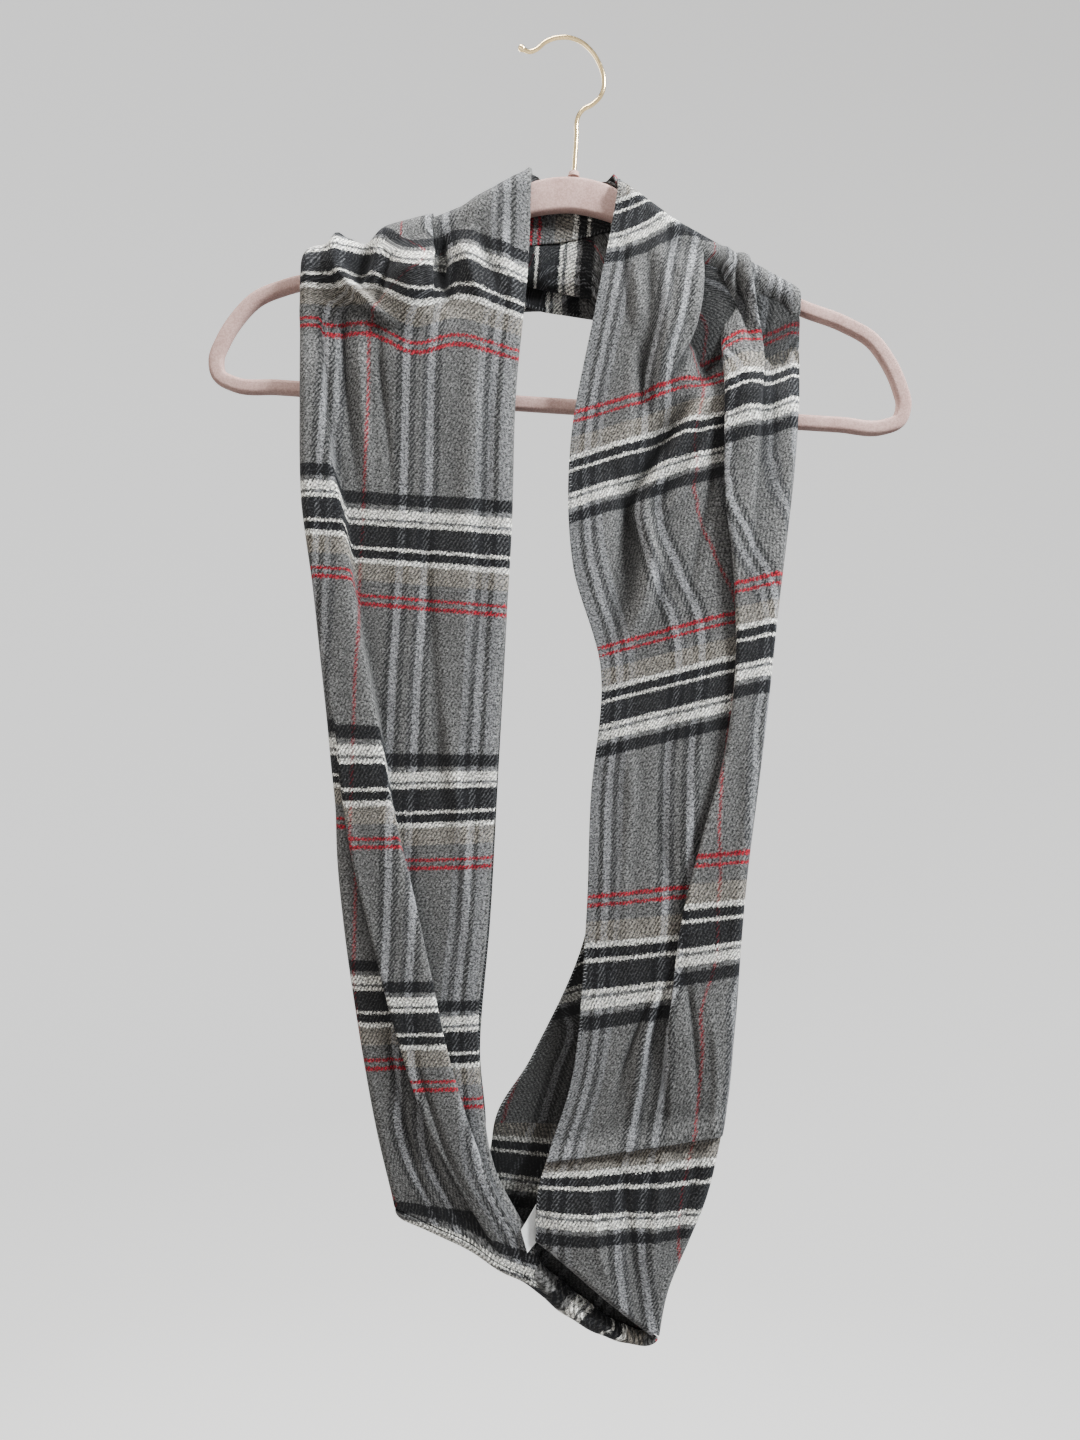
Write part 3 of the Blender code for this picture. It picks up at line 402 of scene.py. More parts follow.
def weftLines(leg, u):
    # each line as x, z, height and bar shift, from the inner edge over the front, the fold and the back layer
    rows, side, tuck = leg["rows"], leg["side"], leg["tuck"]
    at = {name: smoothLine(u, rows["u"], rows[name])[:, None] for name in rows}
    length = np.hypot(at["xOut"] - at["xIn"], at["zOut"] - at["zIn"])
    f = np.linspace(0, 1, clothSettings["samples"])[None, :] * (1 - clothSettings["foldReach"] / length)
    x = at["xIn"] + (at["xOut"] - at["xIn"]) * f
    z = at["zIn"] + (at["zOut"] - at["zIn"]) * f
    away = easeInOut((armCentre(x) - z) / clothSettings["partBy"])
    back = backHeight(away)
    n = at["nIn"] + (at["nOut"] - at["nIn"]) * f + at["swell"] * 4 * f * (1 - f)
    rise, push, shift = foldShape(leg["folds"], side, x, z, f)
    inwards = np.abs(x - at["xIn"])
    inBand = easeInOut((tuckSettings["band"] - inwards) / tuckSettings["fade"])
    lift = clothSettings["layerLift"] + (clothSettings["tuckLift"] * inBand if tuck else 0)
    n = keepAbove(back + lift + (n - back - lift) * away + rise, back + lift - clothSettings["press"])
    n = n + leg["flare"] * easeInOut((clothSettings["flareReach"] - u[:, None]) / clothSettings["flareReach"])
    rise, finePush, _ = foldShape(leg["creases"], side, x, z, f)
    fine = rise / clothSettings["deeper"] + uneven(x, z, side)
    below = easeInOut((armCentre(x) - z) / clothSettings["fineBelow"])
    n = n + fine * below * easeInOut((1 - f) / clothSettings["fineEdge"])
    fade = np.interp(z, swayShare["z"], swayShare["share"])
    shift = shift + smoothLine(x, leg["sway"]["x"], leg["sway"]["lift"]) * fade * -side
    x = x + push + finePush
    x, z, n, shift = evenColumns(leg["front"], x, z, n, shift)
    parts = []
    if tuck:
        under = back[:, :1] + (n[:, :1] - back[:, :1]) * 0.5
        half = (n[:, :1] - under) / 2
        turn = np.linspace(-math.pi / 2, math.pi / 2, leg["fold"] + 2)[None, 1:-1]
        bendX = x[:, :1] - side * tuckSettings["round"] * np.cos(turn)
        spread = np.ones_like(bendX)
        bendN = (n[:, :1] + under) / 2 + half * np.sin(turn)
        bend = [bendX, z[:, :1] * spread, bendN, shift[:, :1] * spread]
        wide = (tuck - tuckSettings["least"]) * easeInOut((tuckSettings["low"] - u) / tuckSettings["lowOver"])
        wide = wide * easeInOut((u - tuckSettings["high"]) / tuckSettings["highOver"])
        reach = tuckSettings["least"] + wide
        reach = reach[:, None] * np.linspace(1, 0, leg["hidden"])[None, :]
        slope = (at["zOut"] - at["zIn"]) / length
        spread = np.ones_like(reach)
        flat = [x[:, :1] + side * reach, z[:, :1] + slope * reach, under * spread, shift[:, :1] * spread]
        parts += [flat, bend]
    parts.append([x, z, n, shift])
    turn = np.linspace(math.pi / 2, -math.pi / 2, leg["fold"] + 2)[None, 1:-1]
    middle, half = (n[:, -1:] + back[:, -1:]) / 2, (n[:, -1:] - back[:, -1:]) / 2
    bendX = x[:, -1:] + side * clothSettings["foldReach"] * np.cos(turn)
    spread = np.ones_like(bendX)
    parts.append([bendX, z[:, -1:] * spread, middle + half * np.sin(turn), shift[:, -1:] * spread])
    f = (np.linspace(0, 1, leg["back"]) ** clothSettings["backBunch"])[None, :]
    backX = x[:, -1:] + (at["xBack"] - x[:, -1:]) * f
    backZ = z[:, -1:] + (at["zBack"] - z[:, -1:]) * f
    away = easeInOut((armCentre(backX) - backZ) / clothSettings["partBy"])
    backN = backHeight(away)
    ripple = 0.45 * np.sin(backX / 13 + backZ / 90 + side) + 0.35 * np.sin(backX / 6.1 - backZ / 47)
    backN = backN + ripple * away * easeInOut(f / 0.1)
    parts.append([backX, backZ, backN, shift[:, -1:] * (1 - f)])
    return np.concatenate([np.array(part) for part in parts], axis=2)


def crossingAt(stations, gap, last):
    hit = np.nonzero(np.diff(np.sign(gap)) != 0)[0]
    k = hit[-1] if last else hit[0]
    return stations[k] + (stations[k + 1] - stations[k]) * gap[k] / (gap[k] - gap[k + 1])


def turnOver(share):
    least = neckSettings["turnLeast"]
    return math.pi * (least + (1 - least) * easeInOut(share / neckSettings["turnOver"]))


def toNeck(inner, outer, side, share, t):
    # the back layer behind the arm, on its way in to stand behind the hanger's neck
    x = inner + (outer - inner) * share
    radius = hangerSettings["depth"] / 2 + clothSettings["ridgeBack"]
    lastTurn = turnOver(share)
    start = np.stack([x, -radius * np.cos(lastTurn), armCentre(x) + radius * np.sin(lastTurn)], axis=-1)
    one = np.ones_like(x)
    top = neckSettings["top"] - neckSettings["tall"] * share
    end = np.stack([one * side * neckSettings["half"], one * neckSettings["back"], top], axis=-1)
    apart = np.hypot(end[..., 0] - start[..., 0], end[..., 2] - start[..., 2])
    pull = (neckSettings["pull"] * apart)[..., None]
    away = np.stack([-neckSettings["drift"] * side * one, 0 * one, np.cos(lastTurn)], axis=-1)
    away = away * pull * neckSettings["leave"]
    inward = np.array([-side, 0.0, 0.0]) * pull
    t = t[..., None]
    place = (1 + 2 * t) * (1 - t) ** 2 * start + t * (1 - t) ** 2 * away
    place = place + t**2 * (3 - 2 * t) * end + t**2 * (t - 1) * inward
    backwards = easeInOut(t[..., 0] / neckSettings["backBy"])
    place[..., 1] = start[..., 1] + (neckSettings["back"] - start[..., 1]) * backwards
    peek = np.exp(-((share / neckSettings["peekWidth"]) ** 2)) * np.sin(np.pi * np.clip(t[..., 0], 0, 1))
    place[..., 2] += neckSettings["peek"] * peek
    return place


def behindNeck(inner, outer, side, share, height, full, t):
    share, t = np.broadcast_arrays(share[None, :], t[:, None])
    place = toNeck(inner, outer, side, share, t)
    probe = neckSettings["probe"]
    across = toNeck(inner, outer, side, share + probe, t) - toNeck(inner, outer, side, share - probe, t)
    along = toNeck(inner, outer, side, share, t + probe) - toNeck(inner, outer, side, share, t - probe)
    outward = side * np.cross(across, along)
    outward /= np.linalg.norm(outward, axis=-1, keepdims=True)
    lastTurn = turnOver(share)
    radial = np.stack([0 * lastTurn, -np.cos(lastTurn), np.sin(lastTurn)], axis=-1)
    blend = easeInOut(t / neckSettings["blend"])[..., None]
    outward = radial * (1 - blend) + outward * blend
    outward /= np.linalg.norm(outward, axis=-1, keepdims=True)
    thin = easeInOut(t)
    off = height[None, :] * (1 - thin + thin * neckSettings["stack"] / full[None, :])
    return place + outward * off[..., None]


def acrossOf(section, zero):
    # distance over the cloth from the inner edge of the front, the same way along each line
    run = np.sqrt((np.diff(section[:3], axis=2) ** 2).sum(axis=0))
    run = np.concatenate([np.zeros((len(run), 1)), np.cumsum(run, axis=1)], axis=1)
    return run - run[:, zero : zero + 1]


def legSurface(leg, lower):
    side = leg["side"]
    stations = np.linspace(leg["rows"]["u"][0], leg["rows"]["u"][-1], clothSettings["stations"])
    section = weftLines(leg, stations)
    first = leg["hidden"] + leg["fold"] if leg["tuck"] else 0
    last = first + leg["front"] - 1
    across = acrossOf(section, first)
    columns = section.shape[2]
    ridge = []
    for c in range(columns):
        x, z, n, shift = section[:, :, c]
        u = crossingAt(stations, z - armCentre(x), side > 0)
        ridge.append([np.interp(u, stations, values) for values in (stations, x, n, shift, across[:, c])])
    ridgeU, ridgeX, ridgeN, ridgeShift, ridgeAcross = np.array(ridge).T
    inner, outer = ridgeX[first], ridgeX[last]
    share = (ridgeX - inner) / (outer - inner)
    depth = hangerSettings["depth"]
    front = np.zeros((leg["rowsUp"], columns, 5))
    for c in range(columns):
        x, z, n, shift = section[:, :, c]
        bottomU = lower(stations, x, z)
        u = bottomU + (ridgeU[c] - bottomU) * np.linspace(0, 1, leg["rowsUp"] + 1)[:-1]
        px, pz, pn, ps, pa = [np.interp(u, stations, values) for values in (x, z, n, shift, across[:, c])]
        stretched = easeInOut((u - clothSettings["stretchFrom"]) / clothSettings["stretchOver"])
        along = u + ps + leg["phase"] + leg["stretch"] * stretched
        front[:, c] = np.stack([px, -depth / 2 - pn, pz, pa, along], axis=1)
    radius = depth / 2 + ridgeN
    turn = turnOver(share)[None, :] * np.linspace(0, 1, leg["over"] + 1)[:-1, None]
    centre = armCentre(ridgeX)
    spread = np.ones_like(turn)
    over = np.stack([ridgeX * spread, -radius * np.cos(turn), centre + radius * np.sin(turn)], axis=2)
    height = ridgeN - clothSettings["ridgeBack"]
    full = ridgeN[np.clip(np.arange(columns), first, last)] - clothSettings["ridgeBack"]
    behind = behindNeck(inner, outer, side, share, height, full, np.linspace(0, 1, leg["behind"]))
    top = np.concatenate([over, behind])
    steps = np.linalg.norm(np.diff(top, axis=0), axis=2)
    run = np.concatenate([np.zeros((1, columns)), np.cumsum(steps, axis=0)])
    along = ridgeU + ridgeShift + leg["phase"] + side * run
    settle = easeInOut(np.linspace(0, neckSettings["settle"], leg["behind"]))
    for row, part in enumerate(settle, leg["over"]):
        evened = np.polyval(np.polyfit(share[first : last + 1], along[row, first : last + 1], 2), share)
        along[row] += (evened - along[row]) * part
    topWeave = np.stack([ridgeAcross * np.ones_like(run), along], axis=2)
    points = np.concatenate([front[:, :, :3], top])
    weave = np.concatenate([front[:, :, 3:], topWeave])
    return points, weave


# Meshes
def newObject(name, mesh, materials):
    for material in materials:
        mesh.materials.append(material)
    piece = bpy.data.objects.new(name, mesh)
    bpy.context.scene.collection.objects.link(piece)
    return piece


def gridObject(name, points, weave, materials, closed=False):
    rows, columns = points.shape[:2]
    r, c = np.meshgrid(np.arange(rows - 1), np.arange(columns if closed else columns - 1), indexing="ij")
    nextC = (c + 1) % columns
    here, below = r * columns, (r + 1) * columns
    faces = np.stack([here + c, here + nextC, below + nextC, below + c], -1)
    mesh = bpy.data.meshes.new(name)
    mesh.from_pydata((points.reshape(-1, 3) * mm).tolist(), [], faces.reshape(-1, 4).tolist())
    if weave is not None:
        layer = mesh.uv_layers.new(name="weave")
        corner = np.zeros(len(mesh.loops), dtype=np.int32)
        mesh.loops.foreach_get("vertex_index", corner)
        layer.data.foreach_set("uv", (weave.reshape(-1, 2)[corner] * mm).astype(np.float32).ravel())
    return newObject(name, mesh, materials)


def baked(piece):
    # the modifiers' result as a plain mesh on the same object
    graph = bpy.context.evaluated_depsgraph_get()
    mesh = bpy.data.meshes.new_from_object(piece.evaluated_get(graph))
    piece.modifiers.clear()
    old = piece.data
    piece.data = mesh
    bpy.data.meshes.remove(old)
    return piece


# millimetres over which the cloth is evened out, and millimetres to one unit of the map; the map drives the
# painted shade in the cloth's hollows and the painted highlight on its crests
reliefSettings = {"reach": 9.0, "perUnit": 10.0}


def blurred(points, axis, sigma):
    reach = int(math.ceil(2.5 * sigma))
    edge = [(0, 0)] * points.ndim
    edge[axis] = (reach, reach)
    padded = np.pad(points, edge, mode="edge")
    offsets = np.arange(2 * reach + 1)
    weights = np.exp(-0.5 * ((offsets - reach) / sigma) ** 2)
    total = np.zeros_like(points)
    for offset, weight in zip(offsets, weights / weights.sum()):
        total += weight * np.take(padded, np.arange(points.shape[axis]) + offset, axis=axis)
    return total


def reliefOf(points):
    # how far each point stands out of the evened surface, towards the side that the grid faces
    even = points
    for axis in (0, 1):
        spacing = np.linalg.norm(np.diff(points, axis=axis), axis=2).mean()
        even = blurred(even, axis, reliefSettings["reach"] / spacing)
    facing = np.cross(np.gradient(even, axis=1), np.gradient(even, axis=0))
    facing /= np.linalg.norm(facing, axis=2, keepdims=True) + 1e-9
    return ((points - even) * facing).sum(axis=2)


def sheetObject(name, points, weave, materials, wall=None):
    # the first material is on the side that the grid faces, the second on the other side
    piece = gridObject(name, points, weave, materials)
    # the relief goes into a map from which the twill paints shade into hollows and a highlight onto crests,
    # with the opposite sign on the reverse
    relief = reliefOf(points) / reliefSettings["perUnit"] * (-1 if materials[0] is twillReversePaintedShade else 1)
    corner = np.zeros(len(piece.data.loops), dtype=np.int32)
    piece.data.loops.foreach_get("vertex_index", corner)
    pairs = np.stack([relief.ravel()[corner], np.zeros(len(corner))], axis=1)
    piece.data.uv_layers.new(name="relief").data.foreach_set("uv", pairs.astype(np.float32).ravel())
    thick = piece.modifiers.new("wall", "SOLIDIFY")
    thick.thickness = (wall or clothSettings["wall"]) * mm
    thick.offset = 0
    thick.use_quality_normals = True
    thick.material_offset = len(materials) - 1
    baked(piece)
    piece.data.shade_smooth()
    piece.data.set_sharp_from_angle(angle=math.radians(62))
    return piece


# Materials
def addNode(tree, kind, links=None, **settings):
    node = tree.nodes.new(kind)
    for name, value in settings.items():
        setattr(node, name, value)
    for key, value in (links or {}).items():
        socket = node.inputs[key]
        if isinstance(value, bpy.types.NodeSocket):
            tree.links.new(value, socket)
        else:
            socket.default_value = value
    return node


def calc(tree, operation, a, b=0.0, clamp=False):
    return addNode(tree, "ShaderNodeMath", {0: a, 1: b}, operation=operation, use_clamp=clamp).outputs[0]


def mixColour(tree, share, a, b, blend="MIX"):
    node = addNode(tree, "ShaderNodeMix", data_type="RGBA", blend_type=blend)
    for socket, value in zip((node.inputs[0], node.inputs[6], node.inputs[7]), (share, a, b)):
        if isinstance(value, bpy.types.NodeSocket):
            tree.links.new(value, socket)
        else:
            socket.default_value = value
    return node.outputs[2]


def noise(tree, vector, scale, detail=2.0, rough=0.5):
    links = {"Vector": vector, "Scale": scale, "Detail": detail, "Roughness": rough}
    return addNode(tree, "ShaderNodeTexNoise", links).outputs["Fac"]


def spread(tree, value, low, high, toLow, toHigh):
    links = {"Value": value, "From Min": low, "From Max": high, "To Min": toLow, "To Max": toHigh}
    return addNode(tree, "ShaderNodeMapRange", links, interpolation_type="SMOOTHSTEP").outputs[0]


def addBump(tree, shader, height, strength, distance):
    bump = addNode(tree, "ShaderNodeBump", {"Height": height, "Strength": strength, "Distance": distance})
    tree.links.new(bump.outputs[0], shader.inputs["Normal"])


def newMaterial(name, roughness):
    material = bpy.data.materials.new(name)
    material.use_nodes = True
    shader = material.node_tree.nodes["Principled BSDF"]
    shader.inputs["Roughness"].default_value = roughness
    return material, material.node_tree, shader


plaidSettings = {
    "repeat": 168.0,
    "twillPitch": 2.4,
    "twillRise": 4.1,
    "ragged": 6.5,
    # painted shade in the cloth's hollows and painted highlight on its crests, as factors on the colour
    "hollow": 0.22,
    "crest": 1.22,
    "hollowFrom": -4.2,  # millimetres below and above the evened surface, where the painted shade and the painted highlight are full
    "crestFrom": 2.6,
    "fuzzScale": 760,
    "speckleScale": 720,
    "mottleScale": 330,
    "cloudScale": 60,
    # start of each stripe, its colour, and how much of it the crossing yarns leave in sight
    "weft": [
        (0, "ground", 0.5),
        (60, "black", 1.0),
        (68, "ground", 0.5),
        (71, "white", 0.8),
        (77, "ground", 0.6),
        (79, "white", 0.76),
        (82, "charcoal", 1.0),
        (96, "white", 0.78),
        (98, "black", 1.0),
        (104, "white", 0.78),
        (107, "taupe", 0.6),
        (119, "ground", 0.5),
        (128, "red", 0.94),
        (130.5, "ground", 0.5),
        (133.5, "red", 0.94),
        (136, "ground", 0.5),
    ],
    "warp": [
        (0, "light"),
        (6, "charcoal"),
        (9.5, "pale"),
        (14, "soft"),
        (18, "light"),
        (22, "ground"),
        (45, "charcoal"),
        (49, "pale"),
        (53.5, "soft"),
        (57, "ground"),
        (61, "charcoal"),
        (64.5, "pale"),
        (69.5, "charcoal"),
        (73, "ground"),
        (91, "red"),
        (93, "ground"),
        (108, "soft"),
        (112, "light"),
        (116, "charcoal"),
        (119.5, "pale"),
        (124, "charcoal"),
        (127.5, "ground"),
        (147, "soft"),
        (151, "light"),
        (155, "soft"),
        (159, "ground"),
    ],
    "colours": {
        "ground": (0.083, 0.081, 0.077, 1),
        "black": (0.0015, 0.0015, 0.002, 1),
        "white": (0.56, 0.54, 0.485, 1),
        "taupe": (0.17, 0.15, 0.122, 1),
        "charcoal": (0.0045, 0.0045, 0.005, 1),
        "soft": (0.022, 0.022, 0.024, 1),
        "light": (0.17, 0.17, 0.172, 1),
        "pale": (0.25, 0.25, 0.255, 1),
        "red": (0.20, 0.002, 0.010, 1),
    },
}


def stepRamp(tree, position, stops):
    # stops are pairs of where in the repeat and what colour from there on
    node = addNode(tree, "ShaderNodeValToRGB", {"Fac": position})
    ramp = node.color_ramp
    ramp.interpolation = "CONSTANT"
    while len(ramp.elements) > 1:
        ramp.elements.remove(ramp.elements[-1])
    for k, (start, colour) in enumerate(stops):
        place = start / plaidSettings["repeat"]
        element = ramp.elements[0] if k == 0 else ramp.elements.new(place)
        element.position = place
        element.color = colour
    return node.outputs["Color"]


def stripeRamp(tree, position, stops):
    colours = plaidSettings["colours"]
    return stepRamp(tree, position, [(start, colours[colour]) for start, colour, *_ in stops])


def coverRamp(tree, position, stops):
    return stepRamp(tree, position, [(start, (cover, cover, cover, 1)) for start, _, cover in stops])


def brushedTwill(name, paintedShadeDim=1.0, facing=1.0):
    material, tree, shader = newMaterial(name, 0.92)
    # painted shade and highlight: the colour darkens where the cloth lies below its evened surface and
    # lightens where it stands above
    reliefMap = addNode(tree, "ShaderNodeUVMap", uv_map="relief").outputs["UV"]
    relief = addNode(tree, "ShaderNodeSeparateXYZ", {0: reliefMap})
    relief = calc(tree, "MULTIPLY", relief.outputs[0], reliefSettings["perUnit"] * facing)
    low, high = plaidSettings["hollowFrom"], plaidSettings["crestFrom"]
    hollow = spread(tree, relief, low, high, plaidSettings["hollow"], plaidSettings["crest"])
    uv = addNode(tree, "ShaderNodeUVMap", uv_map="weave").outputs["UV"]
    split = addNode(tree, "ShaderNodeSeparateXYZ", {0: uv})
    across, along = split.outputs[0], split.outputs[1]
    fuzz = noise(tree, uv, plaidSettings["fuzzScale"], 3, 0.75)
    fuzz = calc(tree, "MULTIPLY", calc(tree, "SUBTRACT", fuzz, 0.5), plaidSettings["ragged"] * mm)
    repeat = plaidSettings["repeat"] * mm
    weftPlace = calc(tree, "FRACT", calc(tree, "DIVIDE", calc(tree, "ADD", along, fuzz), repeat))
    warpPlace = calc(tree, "FRACT", calc(tree, "DIVIDE", calc(tree, "ADD", across, fuzz), repeat))
    weft = stripeRamp(tree, weftPlace, plaidSettings["weft"])
    warp = stripeRamp(tree, warpPlace, plaidSettings["warp"])
    # twill: where the weft floats over the warp, in steep diagonals
    diagonal = calc(tree, "DIVIDE", across, plaidSettings["twillPitch"] * mm)
    diagonal = calc(tree, "SUBTRACT", diagonal, calc(tree, "DIVIDE", along, plaidSettings["twillRise"] * mm))
    diagonal = calc(tree, "ADD", diagonal, calc(tree, "MULTIPLY", noise(tree, uv, 260, 1), 0.9))
    ridge = calc(tree, "ABSOLUTE", calc(tree, "SUBTRACT", calc(tree, "FRACT", diagonal), 0.5))
    cover = coverRamp(tree, weftPlace, plaidSettings["weft"])
    floating = spread(tree, ridge, 0.12, 0.36, -0.28, 0.24)
    grain = spread(tree, ridge, 0.12, 0.36, 0.76, 1.18)
    colour = mixColour(tree, calc(tree, "ADD", cover, floating, clamp=True), warp, weft)
    # melange: every yarn is spun from dark and pale fibres
    fibres = noise(tree, uv, plaidSettings["speckleScale"], 4, 0.85)
    speckle = spread(tree, fibres, 0.39, 0.61, 0.1, 2.2)
    grain = calc(tree, "MULTIPLY", grain, speckle)
    mottle = noise(tree, uv, plaidSettings["mottleScale"], 3, 0.8)
    grain = calc(tree, "MULTIPLY", grain, spread(tree, mottle, 0.35, 0.65, 0.72, 1.28))
    cloud = spread(tree, noise(tree, uv, plaidSettings["cloudScale"], 2), 0.3, 0.7, 0.93, 1.07)
    # shade: grain, mottle and cloud, times the painted fold shading and the painted darkening of the reverse
    shade = calc(tree, "MULTIPLY", calc(tree, "MULTIPLY", grain, cloud), calc(tree, "MULTIPLY", hollow, paintedShadeDim))
    shadeColour = addNode(tree, "ShaderNodeCombineColor", {0: shade, 1: shade, 2: shade}).outputs[0]
    colour = mixColour(tree, 1.0, colour, shadeColour, "MULTIPLY")
    # the nap lays pale fibres over the dark bars
    haze = spread(tree, fibres, 0.55, 0.68, 0.0, 0.06)
    napPale = (0.34, 0.34, 0.345)
    napColour = addNode(tree, "ShaderNodeVectorMath", {0: napPale, 1: shadeColour}, operation="MULTIPLY")
    colour = mixColour(tree, haze, colour, napColour.outputs[0])
    tree.links.new(colour, shader.inputs["Base Color"])
    shader.inputs["Sheen Weight"].default_value = 0.035
    shader.inputs["Sheen Roughness"].default_value = 0.45
    shader.inputs["Sheen Tint"].default_value = (0.86, 0.89, 1.0, 1)
    shader.inputs["Specular IOR Level"].default_value = 0.2
    nap = calc(tree, "MULTIPLY", noise(tree, uv, 1100, 3, 0.7), 1.2)
    high = calc(tree, "ADD", calc(tree, "MULTIPLY", ridge, 0.8), nap)
    addBump(tree, shader, high, 0.6, 0.0006)
    return material


flockSettings = {"pale": (0.60, 0.40, 0.345, 1), "deep": (0.36, 0.215, 0.185, 1)}


def flock(name):
    material, tree, shader = newMaterial(name, 0.88)
    place = addNode(tree, "ShaderNodeTexCoord").outputs["Object"]
    patch = spread(tree, noise(tree, place, 45, 3, 0.6), 0.3, 0.7, 0.0, 0.35)
    fibre = spread(tree, noise(tree, place, 950, 4, 0.8), 0.38, 0.62, 0.0, 0.6)
    share = calc(tree, "ADD", patch, fibre, clamp=True)
    colour = mixColour(tree, share, flockSettings["pale"], flockSettings["deep"])
    tree.links.new(colour, shader.inputs["Base Color"])
    shader.inputs["Sheen Weight"].default_value = 0.2
    shader.inputs["Sheen Roughness"].default_value = 0.35
    shader.inputs["Sheen Tint"].default_value = (1.0, 0.86, 0.82, 1)
    shader.inputs["Specular IOR Level"].default_value = 0.15
    addBump(tree, shader, noise(tree, place, 2200, 3, 0.7), 0.5, 0.0004)
    return material


def goldWire(name):
    material, tree, shader = newMaterial(name, 0.2)
    place = addNode(tree, "ShaderNodeTexCoord").outputs["Object"]
    tint = mixColour(tree, noise(tree, place, 90, 3), (0.80, 0.62, 0.34, 1), (0.62, 0.45, 0.22, 1))
    tree.links.new(tint, shader.inputs["Base Color"])
    worn = spread(tree, noise(tree, place, 500, 3, 0.6), 0.3, 0.7, 0.14, 0.3)
    tree.links.new(worn, shader.inputs["Roughness"])
    shader.inputs["Metallic"].default_value = 1.0
    addBump(tree, shader, noise(tree, place, 160, 2), 0.05, 0.0003)
    return material


def threadMaterial(name, pale, deep):
    material, tree, shader = newMaterial(name, 0.8)
    place = addNode(tree, "ShaderNodeTexCoord").outputs["Object"]
    share = spread(tree, noise(tree, place, 420, 3, 0.7), 0.35, 0.65, 0, 1)
    tree.links.new(mixColour(tree, share, pale, deep), shader.inputs["Base Color"])
    shader.inputs["Sheen Weight"].default_value = 0.2
    addBump(tree, shader, noise(tree, place, 3200, 2), 0.3, 0.0002)
    return material


def labelWeave(name):
    material, tree, shader = newMaterial(name, 0.6)
    place = addNode(tree, "ShaderNodeTexCoord").outputs["Object"]
    links = {"Vector": place, "Scale": 420.0, "Distortion": 0.6}
    ribs = addNode(tree, "ShaderNodeTexWave", links, bands_direction="Z")
    share = spread(tree, noise(tree, place, 900, 2), 0.3, 0.7, 0, 0.35)
    colour = mixColour(tree, share, (0.82, 0.82, 0.79, 1), (0.62, 0.62, 0.6, 1))
    tree.links.new(colour, shader.inputs["Base Color"])
    shader.inputs["Sheen Weight"].default_value = 0.15
    addBump(tree, shader, ribs.outputs["Fac"], 0.25, 0.0002)
    return material


twillFace = brushedTwill("brushed twill face")
# the reverse is the same twill darkened to a third, painted shade for the inner faces of the loop
twillReversePaintedShade = brushedTwill("twill reverse painted shade", 0.33, -1.0)
frameFlock = flock("dusty pink flock")
collarFlock = flock("collar flock")
goldFinish = goldWire("gold wire")
edgeThread = threadMaterial("overlock thread", (0.25, 0.25, 0.25, 1), (0.06, 0.06, 0.06, 1))
labelCloth = labelWeave("label weave")
print("materials ready")

# The two legs, each from its lower end over the arm to the neck
rightLeg = {
    "rows": rightRows,
    "folds": rightFolds,
    "creases": rightCreases,
    "sway": rightSway,
    "phase": -28,  # where the weave's repeat starts on this leg
    "stretch": 0,
    "flare": 4.0,  # the seam's lower edge stands off the cloth below it
    "side": 1,
    "tuck": 0,
    "hidden": 0,
    "front": 104,
    "fold": 12,
    "back": 44,
    "rowsUp": 226,
    "over": 14,
    "behind": 24,
}
leftLeg = {
    "rows": leftRows,
    "folds": leftFolds,
    "creases": leftCreases,
    "sway": leftSway,
    "phase": -71,
    "stretch": 21,  # the cloth hangs a little longer here, so its bars come sooner
    "flare": 0,
    "side": -1,
    "tuck": 42,
    "hidden": 12,
    "front": 94,
    "fold": 9,
    "back": 38,
    "rowsUp": 238,
    "over": 14,
    "behind": 24,
}


def bottomAt(x):
    return smoothLine(x, bottomLine["x"], bottomLine["z"])


rightPoints, rightWeave = legSurface(rightLeg, lambda u, x, z: 0.0)
hemLift = clothSettings["hem"] + clothSettings["hemGap"]
leftPoints, leftWeave = legSurface(leftLeg, lambda u, x, z: crossingAt(u, z - bottomAt(x) - hemLift, True))


def neckEnd(leg, points, weave):
    # share of the width and weave at a leg's last row, over its outer layer
    first = leg["hidden"] + leg["fold"] if leg["tuck"] else 0
    outer = slice(first, first + leg["front"])
    return (neckSettings["top"] - points[-1, outer, 2]) / neckSettings["tall"], weave[-1, outer].copy()


def joinWeave():
    # turn both ends a little so that the repeat runs on across the gap between them
    repeat = plaidSettings["repeat"]
    rightEnd, leftEnd = neckEnd(rightLeg, rightPoints, rightWeave), neckEnd(leftLeg, leftPoints, leftWeave)
    apart = leftEnd[1][:, 1].mean() - rightEnd[1][:, 1].mean() - 2 * neckSettings["half"]
    whole = repeat * round(apart / repeat)
    for leg, weave, sign in ((rightLeg, rightWeave, 1), (leftLeg, leftWeave, -1)):
        settle = easeInOut(np.linspace(0, 1, leg["behind"]))[:, None]
        weave[-leg["behind"] :, :, 1] += sign * settle * (apart - whole) / 2
    rightEnd, leftEnd = neckEnd(rightLeg, rightPoints, rightWeave), neckEnd(leftLeg, leftPoints, leftWeave)
    rightEnd[1][:, 1] += whole
    return rightEnd, leftEnd


neckEnds = joinWeave()
rightCloth = sheetObject("right_leg_cloth", rightPoints, rightWeave, [twillFace, twillReversePaintedShade])
leftCloth = sheetObject("left_leg_cloth", leftPoints, leftWeave, [twillReversePaintedShade, twillFace])
print("legs made", rightPoints.shape, leftPoints.shape)

# Below the cross seam
tailHem = columnsOf("x z", [(-60, -735), (-21, -759.5), (4, -778), (28, -799), (53, -820.5), (70, -835)])
tail = dict(rightLeg, folds=tailFolds, creases=tailCreases, phase=-51, flare=0, rowsUp=46, turnRows=16)
hemSettings = {"extra": 6, "least": 0.15, "backShorter": 3.2}


